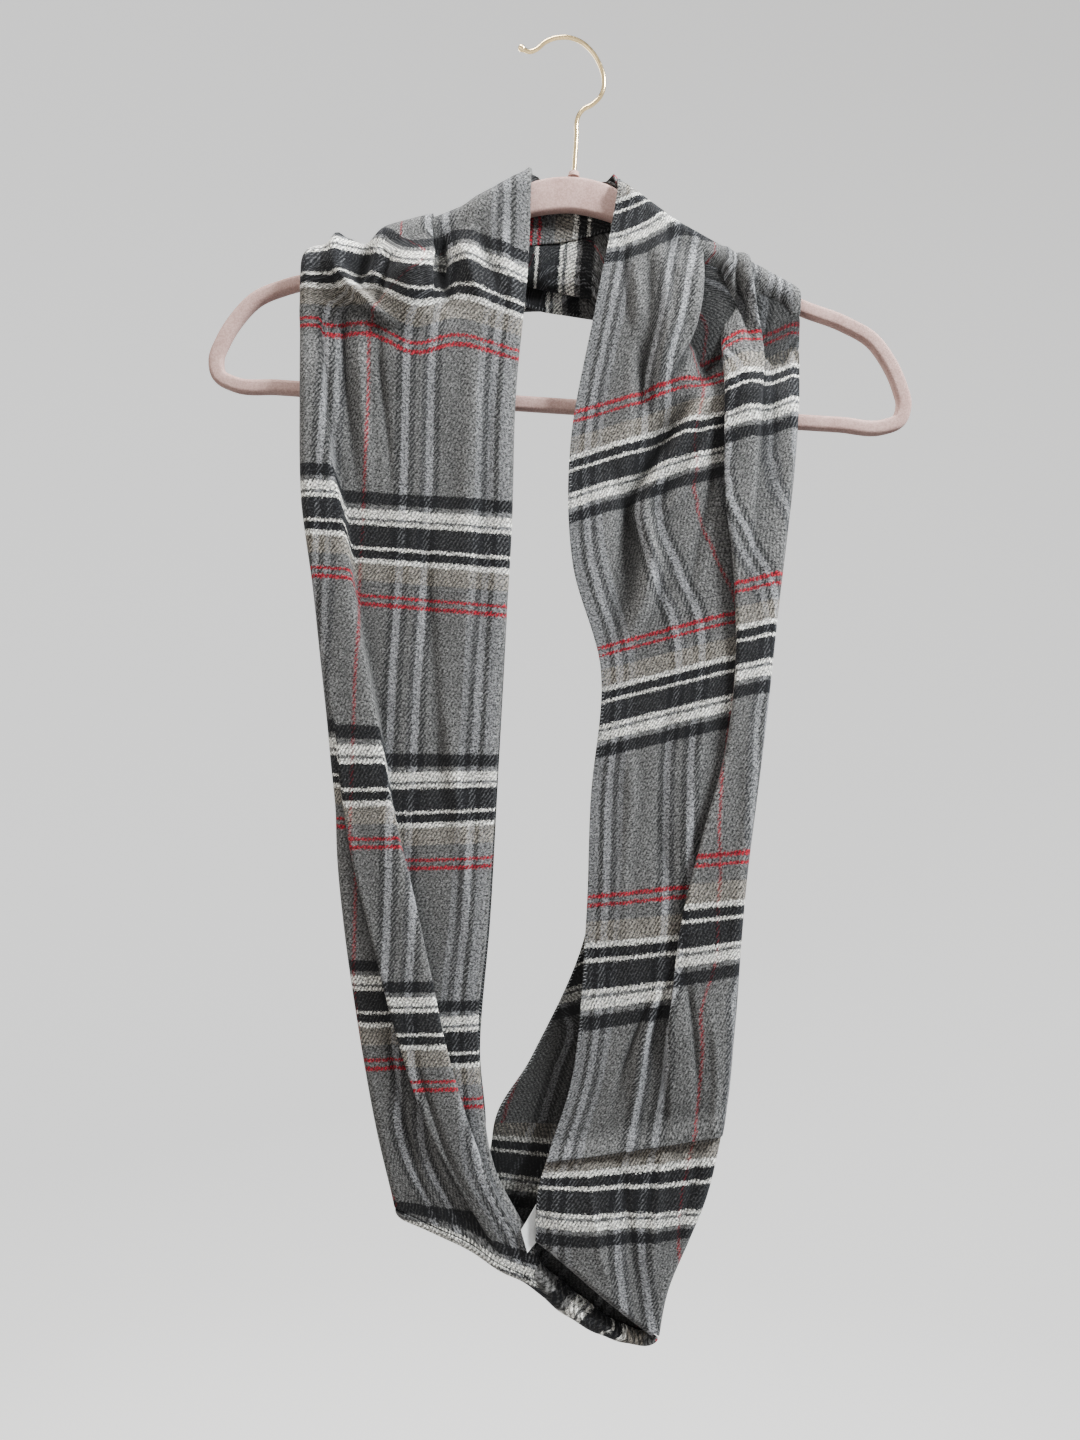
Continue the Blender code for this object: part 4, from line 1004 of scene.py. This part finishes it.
def tailSurface():
    stations = np.linspace(rightRows["u"][0], 0, 200)
    section = weftLines(tail, stations)
    across = acrossOf(section, 0)
    columns = section.shape[2]
    last = tail["front"] - 1
    rows, turnRows, hem = tail["rowsUp"], tail["turnRows"], clothSettings["hem"]
    total = rows + turnRows
    r = np.arange(total)
    points = np.zeros((total, columns, 5))
    for c in range(columns):
        x, z, n, shift = section[:, :, c]
        hemZ = smoothLine(x, tailHem["x"], tailHem["z"])
        turned = np.zeros(total)
        if c <= last:
            stop = crossingAt(stations, z - hemZ - hem, True)
            share = 1 - (c / last) ** 2
            rolled = hemSettings["least"] + (1 - hemSettings["least"]) * share
            turned = np.maximum(0, r - rows + 1) / turnRows * (math.pi * hem + hemSettings["extra"]) * rolled
            u = stop * np.minimum(r / (rows - 1), 1)
        else:
            low = bottomAt(x) + hem + clothSettings["hemGap"]
            past = min((c - last) / (tail["fold"] + 1), 1)
            low = low * past + (hemZ + hem) * (1 - past)
            stop = crossingAt(stations, z - low, True)
            shorter = stop + hemSettings["backShorter"]
            u = shorter * np.minimum(r / (rows - 1), 1)
            u = u + (stop - shorter) * np.maximum(0, r - rows + 1) / turnRows
        px, pz, pn, ps, pa = [np.interp(u, stations, values) for values in (x, z, n, shift, across[:, c])]
        turn = np.minimum(turned / hem, math.pi)
        pz = pz - hem * np.sin(turn) + np.maximum(0, turned - math.pi * hem)
        pn = pn - hem * (1 - np.cos(turn))
        along = u + ps + tail["phase"] - turned
        points[:, c] = np.stack([px, -hangerSettings["depth"] / 2 - pn, pz, pa, along], axis=1)
    return points[:, :, :3], points[:, :, 3:]


tailPoints, tailWeave = tailSurface()
tailCloth = sheetObject("right_tail_cloth", tailPoints, tailWeave, [twillReversePaintedShade, twillFace])

rollRows = columnsOf(
    "x nFront",
    [(-112, 8), (-90, 9), (-60, 12), (-15, 12), (0, 11), (10, 10.5), (26, 9), (45, 8), (60, 8)],
)
hemFrom = leftLeg["hidden"] + leftLeg["fold"]
hemX = leftPoints[0, hemFrom : hemFrom + leftLeg["front"], 0]
hemWeave = leftWeave[0, hemFrom : hemFrom + leftLeg["front"]]
turnSettings = {"end": -109.3, "rounding": 6.0, "deep": 4.0, "last": -16, "leastHalf": 0.08, "leastDeep": 0.2}


def turnSurface(stations):
    # the trough that closes the left leg below
    points, weave = [], []
    hem, back = clothSettings["hem"], clothSettings["layerBack"]
    turn = np.linspace(0, math.pi, 26)
    for x in stations:
        past = min(max((x - turnSettings["end"]) / turnSettings["rounding"], 0), 1)
        closing = math.sqrt(1 - (1 - past) ** 2)
        nFront = float(smoothLine(x, rollRows["x"], rollRows["nFront"]))
        middle, half = (nFront + back) / 2, (nFront - back) / 2 * max(closing, turnSettings["leastHalf"])
        low = float(bottomAt(x)) + (hem - 1) * (1 - closing)
        high, deep = float(bottomAt(x)) + hem, turnSettings["deep"] * max(closing, turnSettings["leastDeep"])
        n = np.array([middle + half, *(middle + half * np.cos(turn)), middle - half])
        z = np.array([high, *(low + deep - deep * np.sin(turn)), high])
        run = np.concatenate([[0], np.cumsum(np.hypot(np.diff(n), np.diff(z)))])
        points.append(np.stack([np.full(len(n), x), -hangerSettings["depth"] / 2 - n, z], axis=1))
        across = np.interp(-x, -hemX, hemWeave[:, 0]) + 0 * run
        weave.append(np.stack([across, np.interp(-x, -hemX, hemWeave[:, 1]) + run], axis=1))
    return np.array(points), np.array(weave)


ropeSettings = {
    "start": -23.0,
    "roundFrom": 40.0,
    "end": 55.0,
    "inner": 0.55,  # size of the roll's inner end
    "slant": 0.75,  # the bars stand square to the rope, which runs down to the right
    "tight": 0.95,
    "from": 57.0,
    "across": 24.0,
    "acrossBy": 0.4,
    "waver": 1.1,
    "turns": (255, -185, 74),  # degrees round the roll, and points
    "innerFrom": 95,
    "innerOver": 150,
}
ropeRows = columnsOf(
    "x tall front",
    [
        (-24, 20, 12), (-14, 18, 13.5), (-4, 17.5, 14), (4, 16.5, 14), (14, 14, 13), (23, 11.5, 12),
        (34, 9, 11), (46, 8, 10.5), (56, 7, 10),
    ],
)


def ropeSurface(stations):
    # the cloth rolled on itself, on its way to the tip
    points, weave = [], []
    back = clothSettings["layerBack"]
    turn = np.radians(np.linspace(*ropeSettings["turns"]))
    wound = (turn - math.radians(ropeSettings["innerFrom"])) / math.radians(ropeSettings["innerOver"])
    inward = 1 - (1 - ropeSettings["inner"]) * easeInOut(wound)
    for x in stations:
        low = float(bottomAt(x))
        tall, front = [float(smoothLine(x, ropeRows["x"], ropeRows[name])) for name in ("tall", "front")]
        past = max(0.0, (x - ropeSettings["roundFrom"]) / (ropeSettings["end"] - ropeSettings["roundFrom"]))
        roundEnd = math.sqrt(max(0.012, 1 - past * past))
        ripple = 1 + 0.05 * np.sin(x / 3.1 + 2 * turn) + 0.04 * np.sin(x / 5.3 - 3 * turn)
        n = (front + back) / 2 + (front - back) / 2 * roundEnd * inward * ripple * np.cos(turn)
        z = low + tall / 2 + tall / 2 * roundEnd * inward * ripple * np.sin(turn)
        run = np.concatenate([[0], np.cumsum(np.hypot(np.diff(n), np.diff(z)))])
        points.append(np.stack([np.full(len(n), x), -hangerSettings["depth"] / 2 - n, z], axis=1))
        away = x - ropeSettings["start"] - ropeSettings["slant"] * (z - low)
        along = ropeSettings["from"] + ropeSettings["tight"] * away
        along = along + ropeSettings["waver"] * np.sin(2 * turn + x / 7)
        weave.append(np.stack([ropeSettings["across"] + ropeSettings["acrossBy"] * run, along], axis=1))
    return np.array(points), np.array(weave)


turnStations = np.linspace(0, 1, 130) ** 1.4 * (turnSettings["last"] - turnSettings["end"])
turnStations = turnSettings["end"] + turnStations
turnPoints, turnWeave = turnSurface(turnStations)
rollPoints, rollWeave = ropeSurface(np.linspace(ropeSettings["start"], ropeSettings["end"], 120))
turnCloth = sheetObject("bottom_turn_cloth", turnPoints, turnWeave, [twillFace, twillReversePaintedShade])
rollCloth = sheetObject("bottom_roll_cloth", rollPoints, rollWeave, [twillFace, twillReversePaintedShade])
print("tail and roll made")

# Behind the neck
neckRows = columnsOf(
    "x top flap roll strip",
    [
        (-31, -112, -130, -151, -165),
        (-20, -98, -128.8, -154, -168.5),
        (0, -93, -126.5, -158, -172),
        (16, -94, -122.5, -161, -174.5),
        (27, -104, -119.5, -162.5, -176),
    ],
)
neckLayers = {
    "flap": 5.9,
    "inner": 8.2,
    "rollMiddle": 9.0,
    "rollDeep": 5.4,
    "rollBack": 10.4,
    "strip": 12.6,
    "stripDrop": 16.0,
    "flapWeave": 110.0,  # place in the repeat of the flap, the roll and the strip
    "rollWeave": 76.0,
    "stripWeave": 68.0,
}


def straight(fromPoint, toPoint, count):
    return [np.linspace(a, b, count) for a, b in zip(fromPoint, toPoint)]


def foldBack(near, far, z, rise):
    turn = np.linspace(0, math.pi, 11)[1:-1]
    return [(near + far) / 2 - (far - near) / 2 * np.cos(turn), z + rise * np.sin(turn)]


def neckFoldSurface(stations):
    # hanging flap, top fold, forward roll and the strip under it
    layers = neckLayers
    points, weave = [], []
    for x in stations:
        _, top, flap, roll, strip = [float(smoothLine(x, neckRows["x"], neckRows[name])) for name in neckRows]
        turn = np.radians(np.linspace(82, -105, 34))
        middle, half = (flap + roll) / 2, (flap - roll) / 2 + 1
        wave = 0.5 * math.sin(x / 6.3) + 0.3 * math.sin(x / 2.9 + 1)
        lines = [
            straight((layers["flap"] - 0.5, flap), (layers["flap"], top), 16),
            foldBack(layers["flap"], layers["inner"], top, (layers["inner"] - layers["flap"]) / 2),
            straight((layers["inner"], top), (layers["inner"], flap + 4), 8),
            [layers["rollMiddle"] - (layers["rollDeep"] + wave) * np.cos(turn), middle + half * np.sin(turn)],
            straight((layers["rollBack"], roll + 3), (layers["rollBack"], top - layers["stripDrop"]), 12),
            foldBack(layers["rollBack"], layers["strip"], top - layers["stripDrop"], 1.1),
            straight((layers["strip"], top - layers["stripDrop"]), (layers["strip"] - 0.6, strip), 18),
        ]
        y, z = [np.concatenate(values) for values in zip(*lines)]
        run = np.concatenate([[0], np.cumsum(np.hypot(np.diff(y), np.diff(z)))])
        ends = np.cumsum([len(line[0]) for line in lines])
        marks = [run[ends[0] - 1], run[ends[2]], run[ends[3] - 1], run[ends[4]]]
        base = np.interp(run, marks, [layers[name + "Weave"] for name in ("flap", "roll", "roll", "strip")])
        points.append(np.stack([np.full(len(y), x), y, z], axis=1))
        weave.append(np.stack([run + 24, base - x + 0.9 * np.sin(run / 9)], axis=1))
    return np.array(points), np.array(weave)


foldPoints, foldWeave = neckFoldSurface(np.linspace(-30, 27, 72))
foldCloth = sheetObject("neck_fold_cloth", foldPoints, foldWeave, [twillFace])


def neckWrapSurface():
    # the outer layer runs on from the right leg to the left one
    points, weave = [], []
    share = np.linspace(0, 1, 44)
    for x in np.linspace(-1, 1, 40) * (neckSettings["half"] - neckSettings["gap"]):
        dip = 1 - (x / neckSettings["half"]) ** 2
        z = neckSettings["top"] - 5 * dip * (1 - share) - neckSettings["tall"] * share
        y = np.full(44, neckSettings["back"] + neckSettings["stack"] + 1.2 * dip)
        y = y + 0.5 * dip * np.sin(share * 23 + x / 6)
        points.append(np.stack([np.full(44, x), y, z], axis=1))
        part = (neckSettings["half"] - x) / (2 * neckSettings["half"])
        ends = [[np.interp(share, place, end[:, k]) for k in (0, 1)] for place, end in neckEnds]
        weave.append(np.stack([ends[0][k] * (1 - part) + ends[1][k] * part for k in (0, 1)], axis=1))
    return np.array(points), np.array(weave)


wrapPoints, wrapWeave = neckWrapSurface()
wrapCloth = sheetObject("neck_wrap_cloth", wrapPoints, wrapWeave, [twillFace])

# Cross seam and label
seamSettings = {"wall": 1.0, "low": -2.6, "high": 1.4, "rows": 8, "off": 1.4, "from": 114}
labelSettings = {"wall": 0.8, "points": 22, "bow": 0.7, "curl": 2.2}


def seamSurface():
    u = np.linspace(seamSettings["low"], seamSettings["high"], seamSettings["rows"])
    section = weftLines(tail, u)[:, :, 1 : tail["front"]]
    across = acrossOf(section, 0)
    y = -hangerSettings["depth"] / 2 - section[2] - seamSettings["off"]
    points = np.stack([section[0], y, section[1]], axis=2)
    weave = np.stack([across, u[:, None] + seamSettings["from"] + 0 * across], axis=2)
    return points, weave


seamPoints, seamWeave = seamSurface()
seamCloth = sheetObject("seam_lip_cloth", seamPoints, seamWeave, [twillFace], seamSettings["wall"])
labelCorners = columnsOf(
    "x n z",
    [(-30.5, 14.2, -752), (-26.5, 14.2, -766), (-21, 11, -737.5), (-12, 10, -751)],
)
labelShares = np.linspace(0, 1, labelSettings["points"])
labelPoints = np.zeros((labelSettings["points"], labelSettings["points"], 3))
for i, a in enumerate(labelShares):
    for j, b in enumerate(labelShares):
        weights = np.array([(1 - a) * (1 - b), a * (1 - b), (1 - a) * b, a * b])
        spot = [float(np.dot(weights, labelCorners[name])) for name in ("x", "n", "z")]
        bow = labelSettings["bow"] * math.sin(math.pi * b) * math.cos(labelSettings["curl"] * a)
        labelPoints[i, j] = (spot[0], -hangerSettings["depth"] / 2 - spot[1] - bow, spot[2])
labelPiece = sheetObject("care_label_weave", labelPoints, None, [labelCloth], labelSettings["wall"])
print("neck, seam and label made")


# Overlock stitches along the cut edges
stitchSettings = {"spacing": 2.2, "reach": 2.6, "proud": 0.25, "thread": 0.22, "seed": 7}


def pathObject(name, paths):
    mesh = bpy.data.meshes.new(name)
    vertices, edges, inward = [], [], []
    for line, further in paths:
        start = len(vertices)
        vertices += (line * mm).tolist()
        edges += [(start + k, start + k + 1) for k in range(len(line) - 1)]
        into = further - line
        inward += (into / np.linalg.norm(into, axis=1, keepdims=True)).tolist()
    mesh.from_pydata(vertices, edges, [])
    attribute = mesh.attributes.new("inward", "FLOAT_VECTOR", "POINT")
    attribute.data.foreach_set("vector", np.array(inward, np.float32).ravel())
    return newObject(name, mesh, [])


def overlockTree(material):
    tree = bpy.data.node_groups.new("overlock edge", "GeometryNodeTree")
    face = tree.interface
    face.new_socket("Geometry", in_out="INPUT", socket_type="NodeSocketGeometry")
    for name in ("Spacing", "Reach", "Half height", "Thread"):
        face.new_socket(name, in_out="INPUT", socket_type="NodeSocketFloat")
    face.new_socket("Seed", in_out="INPUT", socket_type="NodeSocketInt")
    face.new_socket("Geometry", in_out="OUTPUT", socket_type="NodeSocketGeometry")
    source = addNode(tree, "NodeGroupInput").outputs
    line = addNode(tree, "GeometryNodeMeshToCurve", {"Mesh": source["Geometry"]})
    links = {"Curve": line.outputs[0], "Length": source["Spacing"]}
    dots = addNode(tree, "GeometryNodeCurveToPoints", links, mode="LENGTH")
    into = addNode(tree, "GeometryNodeInputNamedAttribute", {"Name": "inward"}, data_type="FLOAT_VECTOR")
    aim = addNode(tree, "FunctionNodeAlignRotationToVector", {"Vector": into.outputs[0]}, axis="X")
    turned = addNode(
        tree,
        "FunctionNodeAlignRotationToVector",
        {"Rotation": aim.outputs[0], "Vector": dots.outputs["Tangent"]},
        axis="Y",
        pivot_axis="X",
    )
    ring = addNode(tree, "GeometryNodeCurvePrimitiveCircle", {"Resolution": 8, "Radius": 1.0})
    size = addNode(tree, "ShaderNodeCombineXYZ", {0: source["Reach"], 1: source["Half height"], 2: 1.0})
    half = addNode(tree, "ShaderNodeCombineXYZ", {0: source["Reach"], 1: 0.0, 2: 0.0})
    laid = addNode(
        tree,
        "GeometryNodeTransform",
        {"Geometry": ring.outputs[0], "Scale": size.outputs[0], "Translation": half.outputs[0]},
    )
    links = {"Geometry": laid.outputs[0], "Rotation": (math.pi / 2, 0, 0.25)}
    upright = addNode(tree, "GeometryNodeTransform", links)
    yarn = addNode(tree, "GeometryNodeCurvePrimitiveCircle", {"Resolution": 3, "Radius": source["Thread"]})
    links = {"Curve": upright.outputs[0], "Profile Curve": yarn.outputs[0]}
    loop = addNode(tree, "GeometryNodeCurveToMesh", links)
    vary = addNode(tree, "FunctionNodeRandomValue", {"Seed": source["Seed"]}, data_type="FLOAT_VECTOR")
    vary.inputs[0].default_value = (0.75, 0.94, 0.94)
    vary.inputs[1].default_value = (1.15, 1.06, 1.06)
    put = addNode(
        tree,
        "GeometryNodeInstanceOnPoints",
        {
            "Points": dots.outputs["Points"],
            "Instance": loop.outputs[0],
            "Rotation": turned.outputs[0],
            "Scale": vary.outputs[0],
        },
    )
    real = addNode(tree, "GeometryNodeRealizeInstances", {"Geometry": put.outputs[0]})
    painted = addNode(tree, "GeometryNodeSetMaterial", {"Geometry": real.outputs[0], "Material": material})
    addNode(tree, "NodeGroupOutput", {"Geometry": painted.outputs[0]})
    return tree


def setInput(modifier, name, value):
    for item in modifier.node_group.interface.items_tree:
        if item.name == name and item.in_out == "INPUT":
            modifier[item.identifier] = value


def stitchEdges(name, paths, material):
    piece = pathObject(name, paths)
    modifier = piece.modifiers.new("overlock", "NODES")
    modifier.node_group = overlockTree(material)
    setInput(modifier, "Spacing", stitchSettings["spacing"] * mm)
    setInput(modifier, "Reach", stitchSettings["reach"] * mm / 2)
    setInput(modifier, "Half height", (clothSettings["wall"] / 2 + stitchSettings["proud"]) * mm)
    setInput(modifier, "Thread", stitchSettings["thread"] * mm)
    setInput(modifier, "Seed", stitchSettings["seed"])
    baked(piece)
    piece.data.shade_smooth()
    return piece


ridgeRow = rightLeg["rowsUp"] + rightLeg["over"]
stitchPaths = [
    # each edge, and a line that lies further in
    (rightPoints[1:ridgeRow, 0], rightPoints[1:ridgeRow, 3]),
    (rightPoints[1:ridgeRow, -1], rightPoints[1:ridgeRow, -3]),
    (tailPoints[: tail["rowsUp"], 0], tailPoints[: tail["rowsUp"], 3]),
    (leftPoints[4 : leftLeg["rowsUp"], -1], leftPoints[4 : leftLeg["rowsUp"], -3]),
    (foldPoints[:, 0], foldPoints[:, 2]),
    (foldPoints[:, -1], foldPoints[:, -3]),
    (seamPoints[0], seamPoints[2]),
]
overlock = stitchEdges("overlock_stitches", stitchPaths, edgeThread)
print("stitches made", len(overlock.data.polygons))

# Hanger
fineRings = frameRings(hangerSettings["ringsPerStep"], hangerSettings["cornerSteps"])
fineRings = np.concatenate([fineRings, fineRings[:1]])
framePiece = gridObject("hanger_frame_flock", fineRings, None, [frameFlock], closed=True)


def finishClosed(piece, merge=0.00001):
    build = bmesh.new()
    build.from_mesh(piece.data)
    bmesh.ops.remove_doubles(build, verts=build.verts, dist=merge)
    bmesh.ops.recalc_face_normals(build, faces=build.faces)
    build.to_mesh(piece.data)
    build.free()
    piece.data.shade_smooth()
    return piece


finishClosed(framePiece)
collarProfile = [
    (0.0, 0.0), (3.7, 0.0), (3.95, 0.25), (3.8, 0.8), (3.3, 2.9), (3.0, 3.45), (2.5, 3.6), (0.0, 3.6),
]
turns = np.linspace(0, 2 * math.pi, 49)[:-1]
collarRings = []
for radius, up in collarProfile:
    px, pz = tipped(radius * np.cos(turns), -88 + neckSettings["gap"] + up)
    collarRings.append(np.stack([px, radius * np.sin(turns), pz + 0 * turns], axis=1))
collarPiece = gridObject("hanger_collar_flock", np.array(collarRings), None, [collarFlock], closed=True)
finishClosed(collarPiece)
collarPiece.data.set_sharp_from_angle(angle=math.radians(50))

hookBends = columnsOf(
    "x z thick",
    [
        (3.2, -83.7, 1), (4.6, -62, 1), (5.3, -50.5, 1), (8.6, -45, 1), (15.0, -41.2, 1), (20.6, -35, 1),
        (22.2, -26, 1), (19.6, -16, 1), (13.5, -6.4, 1), (4.5, 0.1, 1), (-5.4, 1.5, 1), (-14.5, -1.1, 1),
        (-21, -6.2, 1), (-25, -7.6, 1), (-28.4, -6.6, 1.05), (-30.2, -5.5, 1.65), (-31.6, -4.7, 1.3),
        (-32.2, -4.3, 0.5),
    ],
)


def hookWire():
    path = bpy.data.curves.new("hook path", "CURVE")
    path.dimensions = "3D"
    path.resolution_u = 10
    path.bevel_depth = hangerSettings["wire"] * mm
    path.bevel_resolution = 6
    path.use_fill_caps = True
    spline = path.splines.new("BEZIER")
    spline.bezier_points.add(len(hookBends["x"]) - 1)
    for point, x, z, thick in zip(spline.bezier_points, hookBends["x"], hookBends["z"], hookBends["thick"]):
        point.co = (x * mm, 0, z * mm)
        point.handle_left_type = "AUTO"
        point.handle_right_type = "AUTO"
        point.radius = thick
    holder = bpy.data.objects.new("hook path", path)
    bpy.context.scene.collection.objects.link(holder)
    graph = bpy.context.evaluated_depsgraph_get()
    mesh = bpy.data.meshes.new_from_object(holder.evaluated_get(graph))
    bpy.data.objects.remove(holder)
    mesh.materials.clear()
    piece = newObject("hanger_hook_wire", mesh, [goldFinish])
    finishClosed(piece)
    piece.data.set_sharp_from_angle(angle=math.radians(60))
    return piece


hookPiece = hookWire()
print("hanger made")

# What each piece stands for
pieceRoles = [
    (framePiece, "hanger_frame", "frame_flock"),
    (collarPiece, "hanger_collar", "collar_flock"),
    (hookPiece, "hanger_hook", "gold_wire"),
    (rightCloth, "right_leg", "scarf_twill"),
    (tailCloth, "right_tail", "scarf_twill"),
    (leftCloth, "left_leg", "scarf_twill"),
    (foldCloth, "neck_fold", "scarf_twill"),
    (wrapCloth, "neck_wrap", "scarf_twill"),
    (turnCloth, "bottom_turn", "scarf_twill"),
    (rollCloth, "bottom_roll", "scarf_twill"),
    (seamCloth, "seam_lip", "scarf_twill"),
    (labelPiece, "care_label", "label_weave"),
]
for piece, node, slotName in pieceRoles:
    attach(piece, "root")
    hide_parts(node)
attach(overlock, "root")

# Camera, light and backdrop
viewSettings = {"place": (-0.0186, -0.690, -0.4346), "lens": 27, "tall": 36}
camera = bpy.data.cameras.new("camera")
camera.sensor_fit = "VERTICAL"
camera.sensor_height = viewSettings["tall"]
camera.lens = viewSettings["lens"]
cameraObject = bpy.data.objects.new("camera", camera)
cameraObject.location = viewSettings["place"]
cameraObject.rotation_euler = (math.radians(90), 0, 0)
bpy.context.scene.collection.objects.link(cameraObject)
bpy.context.scene.camera = cameraObject

lightSettings = [
    # name, place, size, power, colour
    ("key", (1.30, -0.70, 0.80), 0.45, 120, (0.90, 0.95, 1.0)),
    ("fill", (-1.7, -1.3, -0.3), 1.4, 12, (1.0, 0.94, 0.86)),
    ("top", (-0.25, -0.3, 1.2), 0.6, 38, (0.98, 0.99, 1.0)),
    ("rear", (-0.9, 1.8, 0.4), 1.4, 44, (1.0, 0.98, 0.95)),
]
for name, place, size, power, colour in lightSettings:
    light = bpy.data.lights.new(name, "AREA")
    light.shape = "DISK"
    light.size = size
    light.energy = power
    light.color = colour
    lamp = bpy.data.objects.new(name, light)
    lamp.location = place
    toward = np.array([-0.02, 0.0, -0.42]) - np.array(place)
    flat = math.hypot(toward[0], toward[1])
    lamp.rotation_euler = (math.atan2(flat, -toward[2]), 0, math.atan2(-toward[0], toward[1]))
    lamp.visible_camera = False
    bpy.context.scene.collection.objects.link(lamp)

world = bpy.data.worlds.new("pale room")
world.use_nodes = True
world.node_tree.nodes["Background"].inputs["Color"].default_value = (0.93, 0.95, 1.0, 1)
world.node_tree.nodes["Background"].inputs["Strength"].default_value = 0.38
bpy.context.scene.world = world

bowlSettings = {"floor": -1.9, "radius": 4.0, "curve": 1.8, "tall": 3.5}


def backdropBowl():
    # floor and sides in one sweep, wide enough to hold the camera at every angle
    reach, round_ = bowlSettings["radius"], bowlSettings["curve"]
    profile = [(0.001, 0.0), (reach - round_, 0.0)]
    for a in np.linspace(0.1, 1.5708, 14):
        profile.append((reach - round_ + round_ * math.sin(a), round_ * (1 - math.cos(a))))
    profile.append((reach, bowlSettings["tall"] + 2))
    rings = []
    around = np.linspace(0, 2 * math.pi, 97)[:-1]
    for radius, up in profile:
        height = bowlSettings["floor"] + up + 0 * around
        rings.append(np.stack([radius * np.cos(around), radius * np.sin(around), height], 1))
    material, tree, shader = newMaterial("pale backdrop", 0.95)
    shader.inputs["Base Color"].default_value = (0.80, 0.79, 0.77, 1)
    shader.inputs["Specular IOR Level"].default_value = 0.1
    shader.inputs["Emission Color"].default_value = (0.80, 0.79, 0.77, 1)
    shader.inputs["Emission Strength"].default_value = 0.8
    bowl = gridObject("backdrop", np.array(rings) / mm, None, [material], closed=True)
    bowl.data.shade_smooth()
    bowl.visible_shadow = False
    bowl.visible_diffuse = False


backdropBowl()
print("camera, light and backdrop ready")
